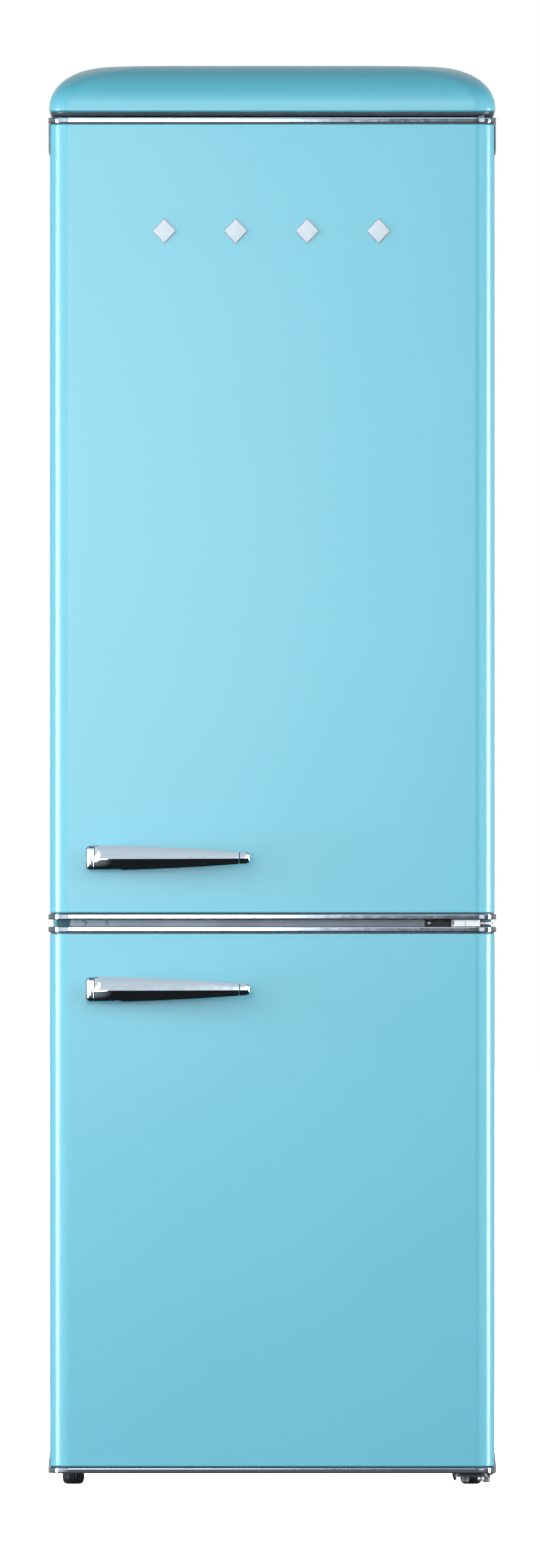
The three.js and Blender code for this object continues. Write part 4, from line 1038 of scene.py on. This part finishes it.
def build_controls():
    """The lamp housing with its ribbed lens, the dial with its marks, and the door switch."""
    carry_over("control_box", WHITE_ABS, mm(2), 3)
    carry_over("light_switch_plunger", WHITE_ABS)
    low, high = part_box("lamp_lens")
    lens = Shape().slab(low + Vector(mm(1, 1, 2)), high - Vector(mm(1, 1, 0)))
    for x in between(low.x + mm(4), high.x - mm(4), 16):
        lens.prism(circle((x, low.z + mm(2.2)), mm(2.2), 10), "y", low.y + mm(2), high.y - mm(2))
    piece(lens, "lamp_cover", "cabinet", "clear_plastic", CLEAR, "lamp_lens", bevel=mm(0.4))
    low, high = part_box("thermostat_knob")
    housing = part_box("control_box")[0]
    middle = Vector(((low.x + high.x) / 2, housing.y, housing.z + mm(15.85)))
    knob = Shape()
    flutes, steps = 24, 72
    profile = ((3, -8, 0), (3, 0.3, 0), (12.6, 0.5, 0.3), (13, 1.2, 1), (12.6, 9, 1), (11.8, 11, 0.5),
               (10.5, 11.8, 0))
    rings = []
    for radius, out, flute in profile:
        ring = []
        for i in range(steps):
            angle = 2 * math.pi * i / steps
            r = mm(radius - 0.7 * flute * (0.5 + 0.5 * math.cos(flutes * angle)))
            ring.append(middle + Vector((r * math.cos(angle), -mm(out), r * math.sin(angle))))
        rings.append(ring)
    knob.skin(rings)
    knob.slab(middle + Vector(mm(-1.2, -12.6, -10.5)), middle + Vector(mm(1.2, -11.2, -1)), finish=1)
    piece(knob, "thermostat_dial", "knob", "grey_plastic", [GREY_ABS, WHITE_ABS], "thermostat_knob", angle=40)
    marks = Shape()
    for i in range(9):
        angle = math.radians(-45 + 33.75 * i)
        way = Vector((math.sin(angle), 0, -math.cos(angle)))
        spot = middle + way * mm(14.4)
        if abs(spot.z - middle.z) < mm(14):
            marks.slab(spot - Vector(mm(0.5, 0.3, 0.5)), spot + Vector(mm(0.5, 0.5, 0.5)))
    piece(marks, "thermostat_marks", "cabinet", "grey_plastic", GREY_ABS)


def build_air_parts():
    carry_over("air_duct", WHITE_ABS, mm(1.2))
    carry_over("freezer_air_cover", WHITE_ABS, mm(0.5))
    carry_over("evaporator", ALUMINIUM)
    carry_over("evaporator_fan", BLACK_ABS)


# ---- Door insides ----------------------------------------------------------------------------


def build_upper_liner():
    """The formed inner panel with its two dykes and their rests for the bins."""
    low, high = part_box("upper_door_liner")
    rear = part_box("upper_door_skin")[1].y + mm(3)
    shape = Shape().slab((low.x, rear - mm(2.6), low.z), (high.x, rear, high.z))
    foot, top = mm(735, 1600)
    levels = [(0, -2), (0, 6), (1.5, 60), (3.5, 64.6), (7, 66)]
    for side in (-1, 1):
        x0, x1 = sorted((side * mm(186), side * mm(210)))
        rings = []
        for inset, out in levels:
            up, across = mm(inset), mm(inset) * 0.6
            points = outline((x0 + across, foot + up), (x1 - across, top - up), mm(6), 5)
            rings.append(lift(points, "y", rear + mm(out)))
        shape.skin(rings)
    for i in (1, 2, 3):
        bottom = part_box(f"door_bin_{i}")[0].z
        for side in (-1, 1):
            x0, x1 = sorted((side * mm(181), side * mm(187)))
            shape.slab((x0, mm(-210), bottom - mm(6)), (x1, mm(-155), bottom - mm(0.3)))
    piece(shape, "upper_inner_panel", "upper_door", "white_plastic", WHITE_SHEET, "upper_door_liner",
          bevel=mm(1.2))


def build_lower_liner():
    """The freezer door's inner panel: a shallow plateau with a pressed border."""
    low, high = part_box("lower_door_liner")
    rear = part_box("lower_door_skin")[1].y + mm(3)
    shape = Shape().slab((low.x, rear - mm(2.6), low.z), (high.x, rear, high.z))
    half, foot, top = 210, 82, 646
    rings = []
    for inset, out in ((0, -2), (0, 5), (4, 16), (9, 19.6), (24, 20), (27, 17.5), (60, 17.5)):
        corner = mm(max(26 - inset, 8))
        points = outline(mm(inset - half, foot + inset), mm(half - inset, top - inset), corner, 8)
        rings.append(lift(points, "y", rear + mm(out)))
    shape.skin(rings)
    piece(shape, "lower_inner_panel", "lower_door", "white_plastic", WHITE_SHEET, "lower_door_liner",
          bevel=mm(1.0), angle=40)


def build_door_bin(number):
    """A clear bin with round front corners, a turned-out rim and a white front rail."""
    node = f"door_bin_{number}"
    low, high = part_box(node)
    radii = (mm(2), mm(2), mm(28), mm(28))
    shape = Shape().skin(tray_rings(low, high, radii, mm(2.2), mm(2.4)))
    piece(shape, f"door_bin_{number}_tray", "upper_door", "clear_plastic", CLEAR, node, angle=50)
    thick, foot, top = mm(0.9), high.z - mm(15), high.z - mm(3)
    outer = outline((low.x, low.y), (high.x, high.y), radii, 8)
    inner = outline((low.x + thick, low.y + thick), (high.x - thick, high.y - thick),
                    [max(r - thick, mm(1)) for r in radii], 8)
    rail = [lift(flat, "z", z) for flat, z in ((outer, foot), (outer, top), (inner, top), (inner, foot))]
    piece(Shape().skin(rail, loop=True), f"door_bin_{number}_rail", "upper_door", "white_plastic", WHITE_ABS,
          bevel=mm(0.3))


# ---- Back and underside ----------------------------------------------------------------------


def build_back_panel():
    """Galvanised sheet held along its edges by pan-head screws."""
    carry_over("back_panel", GALVANISED)
    low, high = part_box("back_panel")
    screws = Shape()
    upright = between(low.z + mm(25), high.z - mm(25), 9)
    across = between(low.x + mm(70), high.x - mm(70), 4)
    spots = [(x, z) for x in (low.x + mm(9), high.x - mm(9)) for z in upright]
    spots += [(x, z) for z in (low.z + mm(8), high.z - mm(12)) for x in across]
    head = [(4.0, 0), (3.9, 0.9), (3.0, 1.8), (1.4, 2.1), (0, 2.1)]
    for x, z in spots:
        screws.turned(head, (x, high.y, z), "y", steps=14)
    piece(screws, "back_panel_screws", "cabinet", "zinc_steel", ZINC)


def build_condenser():
    """A tube bent to and fro, with upright wires welded to both sides of it and two hanging straps."""
    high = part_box("condenser")[1]
    y, radius = mm(309), mm(2.6)
    half, pitch, runs, bottom = mm(215), mm(70), 18, mm(330)
    bend, top = pitch / 2, bottom + (runs - 1) * pitch
    straight = half - bend
    path = []
    for run in range(runs):
        side = -1 if run % 2 else 1
        z = bottom + run * pitch
        path.append((-side * straight, y, z))
        if run == runs - 1:
            path.append((side * straight, y, z))
            break
        for angle in between(-math.pi / 2, math.pi / 2, 11):
            x = side * (straight + bend * math.cos(angle))
            path.append((x, y, z + bend + bend * math.sin(angle)))
    shape = Shape().pipe(path, radius, steps=10)
    welded = radius + mm(0.5)
    for x in between(-half + mm(24), half - mm(24), 44):
        for offset in (-welded, welded):
            shape.prism(circle((x, y + offset), mm(0.7), 5), "z", bottom - mm(8), top + mm(8))
    piece(shape, "condenser_coil", "cabinet", "black_steel", BLACK_STEEL, "condenser", angle=60)
    straps = Shape()
    back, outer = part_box("back_panel")[1].y + mm(0.3), y + mm(5.1)
    head = [(3.2, 0), (3.0, 0.9), (1.6, 1.6), (0, 1.7)]
    for x in mm(-150, 150):
        left, right = x - mm(6), x + mm(6)
        straps.slab((left, y + mm(3.9), bottom - mm(15)), (right, outer, top + mm(15)))
        for z in (bottom - mm(12), top + mm(12)):
            straps.slab((left, back, z - mm(4)), (right, outer, z + mm(4)))
            straps.turned(head, (x, outer, z), "y", steps=14)
        straps.slab((left, y + mm(3), high.z - mm(30)), (right, high.y, high.z - mm(12)), round_off=mm(3),
                    axis="y", finish=1)
    piece(straps, "condenser_straps", "cabinet", "black_steel", [BLACK_STEEL, BLACK_ABS], bevel=mm(0.3))


def build_compressor():
    """The sealed steel pot with its welded seam, foot plate, rubber mounts and start relay."""
    x, y, radius = mm(90), mm(205), mm(72)
    lower = [(0, 36), (40, 36.5), (58, 38.5), (66, 42), (70.5, 49), (72, 60), (72, 108)]
    seam = [(75.4, 109), (76, 110.5), (76, 116.5), (75.4, 118), (72.4, 119)]
    upper = [(72, 124), (72, 150), (70.5, 162), (66, 174), (58, 184), (46, 192.5), (30, 198.5), (14, 201.4),
             (0, 202)]
    pot = Shape().turned(lower + seam + upper, (x, y, 0), steps=56)
    pot.slab((x - mm(85), y - mm(62), mm(40)), (x + mm(85), y + mm(62), mm(43)), round_off=mm(12))
    grommet = [(0, 21.8), (9, 21.8), (9, 28), (7, 30), (7, 34), (9, 36), (9, 44.5), (6.5, 46), (0, 46)]
    stud = [(3.5, 45), (3.5, 49), (0, 49.4)]
    for dx in mm(-74, 74):
        for dy in mm(-51, 51):
            pot.turned(grommet, (x + dx, y + dy, 0), finish=1, steps=18)
            pot.turned(stud, (x + dx, y + dy, 0), finish=2, steps=12)
    piece(pot, "compressor_pot", "cabinet", "black_steel", [BLACK_STEEL, BLACK_ABS, ZINC], "compressor")
    side = x - radius
    relay = Shape().slab((side - mm(27), y - mm(24), mm(72)), (side + mm(8), y + mm(24), mm(138)))
    relay.slab((side - mm(28.4), y - mm(15), mm(82)), (side - mm(26), y + mm(15), mm(128)))
    piece(relay, "compressor_relay", "cabinet", "black_plastic", BLACK_ABS, bevel=mm(2), bevel_steps=3)
    # Discharge, suction and process pipes: to the condenser, up into the wall, and a sealed stub.
    discharge = [(150, 232, 96), (166, 240, 97), (176, 250, 104), (180, 262, 130), (182, 276, 190),
                 (182, 292, 240), (181, 304, 262), (180, 309, 290), (180, 309, 330)]
    suction = [(30, 240, 120), (18, 252, 122), (8, 262, 132), (4, 270, 160), (4, 274, 200), (4, 274, 251)]
    process = [(60, 268, 96), (56, 276, 98), (52, 284, 104), (50, 288, 116), (50, 289, 140)]
    pipes = Shape()
    for line, bore in ((discharge, 2.6), (suction, 4.2), (process, 2.6)):
        pipes.pipe(smooth_line([mm(*point) for point in line]), mm(bore), steps=12)
    piece(pipes, "refrigerant_pipes", "cabinet", "zinc_steel", COPPER, angle=60)


def smooth_line(points):
    """A smooth line through the given points."""
    steps = 6
    points = [Vector(p) for p in points]
    line = []
    for i in range(len(points) - 1):
        before, start = points[max(i - 1, 0)], points[i]
        end, after = points[i + 1], points[min(i + 2, len(points) - 1)]
        for k in range(steps):
            t = k / steps
            curve = (2 * start + (end - before) * t + (2 * before - 5 * start + 4 * end - after) * t**2
                     + (3 * start - before - 3 * end + after) * t**3)
            line.append(curve / 2)
    return line + [points[-1]]


def build_bay_lining():
    """Thin zinc-coated sheets that close the foam off from the machine compartment."""
    foam_left, foam_right = (corner.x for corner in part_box("cabinet_insulation"))
    side, front, thick, clear = mm(258), mm(108), mm(0.6), mm(0.2)
    floor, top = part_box("base_plate")[0].z + mm(2), mm(252) - clear
    case_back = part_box("cabinet_case")[1].y
    back = case_back - mm(2)
    shape = Shape()
    for x in (-side + clear, side - clear - thick):
        shape.slab((x, front, floor), (x + thick, back, top))
    shape.slab((-side, front + clear, floor), (side, front + clear + thick, top))
    shape.slab((-side, front, top - thick), (side, back, top))
    for x0, x1 in ((foam_left, -side), (side, foam_right)):
        shape.slab((x0, case_back - mm(1.4), floor), (x1, case_back, top))
    piece(shape, "machine_bay_lining", "cabinet", "zinc_steel", GALVANISED)


def build_drip_tray():
    low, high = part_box("drip_tray")
    shape = Shape().skin(tray_rings(low, high, (mm(12),) * 4, mm(2), mm(4)))
    piece(shape, "defrost_tray", "cabinet", "black_plastic", BLACK_ABS, "drip_tray", angle=50)


def build_mains_inlet():
    """The terminal box, its lid's edge and screws, and the ribbed gland that holds a mains lead."""
    low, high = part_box("mains_inlet")
    lid = mm(285)
    shape = Shape().slab(low, (high.x, lid, high.z))
    shape.slab((low.x + mm(1), lid - mm(0.4), low.z + mm(1)), (high.x - mm(1), lid + mm(3), high.z - mm(1)))
    gland = [(11, 287), (11, 291), (9.5, 292), (8, 292.5), (8, 303), (7, 304), (3.7, 304), (3.7, 290)]
    middle = mm(-195)
    shape.turned(gland, (middle, 0, mm(50)), "y", steps=28)
    screw = [(0, 287.5), (3.4, 287.5), (3.4, 289), (2.4, 290), (0, 290)]
    for dx in mm(-28, 28):
        shape.turned(screw, (middle + dx, 0, mm(34)), "y", finish=1, steps=14)
    piece(shape, "mains_terminal_box", "cabinet", "black_plastic", [BLACK_ABS, ZINC], "mains_inlet",
          bevel=mm(0.8))


# ---- Everything in its order -----------------------------------------------------------------


def build_cabinet():
    carry_over("cabinet_case", ENAMEL)
    carry_over("cabinet_insulation", FOAM)
    carry_over("base_plate", ZINC, mm(0.3))
    carry_over("top_hinge", ZINC, mm(0.3))
    build_roof()
    build_liners()
    build_mullion()
    build_middle_hinge()
    build_bottom_hinge()
    for side in ("left", "right"):
        build_foot(side)
        build_roller(side)


def build_doors():
    for prefix in ("upper", "lower"):
        carry_over(f"{prefix}_door_insulation", FOAM)
        build_door_skin(prefix)
        build_trim(prefix, "top")
        build_trim(prefix, "bottom")
        build_gasket(prefix)
        build_handle(prefix)
    build_badge()
    build_upper_liner()
    build_lower_liner()
    for number in (1, 2, 3):
        build_door_bin(number)


def build_inside():
    build_shelves()
    build_drawers()
    build_controls()
    build_air_parts()


def build_back():
    build_back_panel()
    build_condenser()
    build_compressor()
    build_bay_lining()
    build_drip_tray()
    build_mains_inlet()


place_camera()
light_studio()
build_cabinet()
build_doors()
build_inside()
build_back()
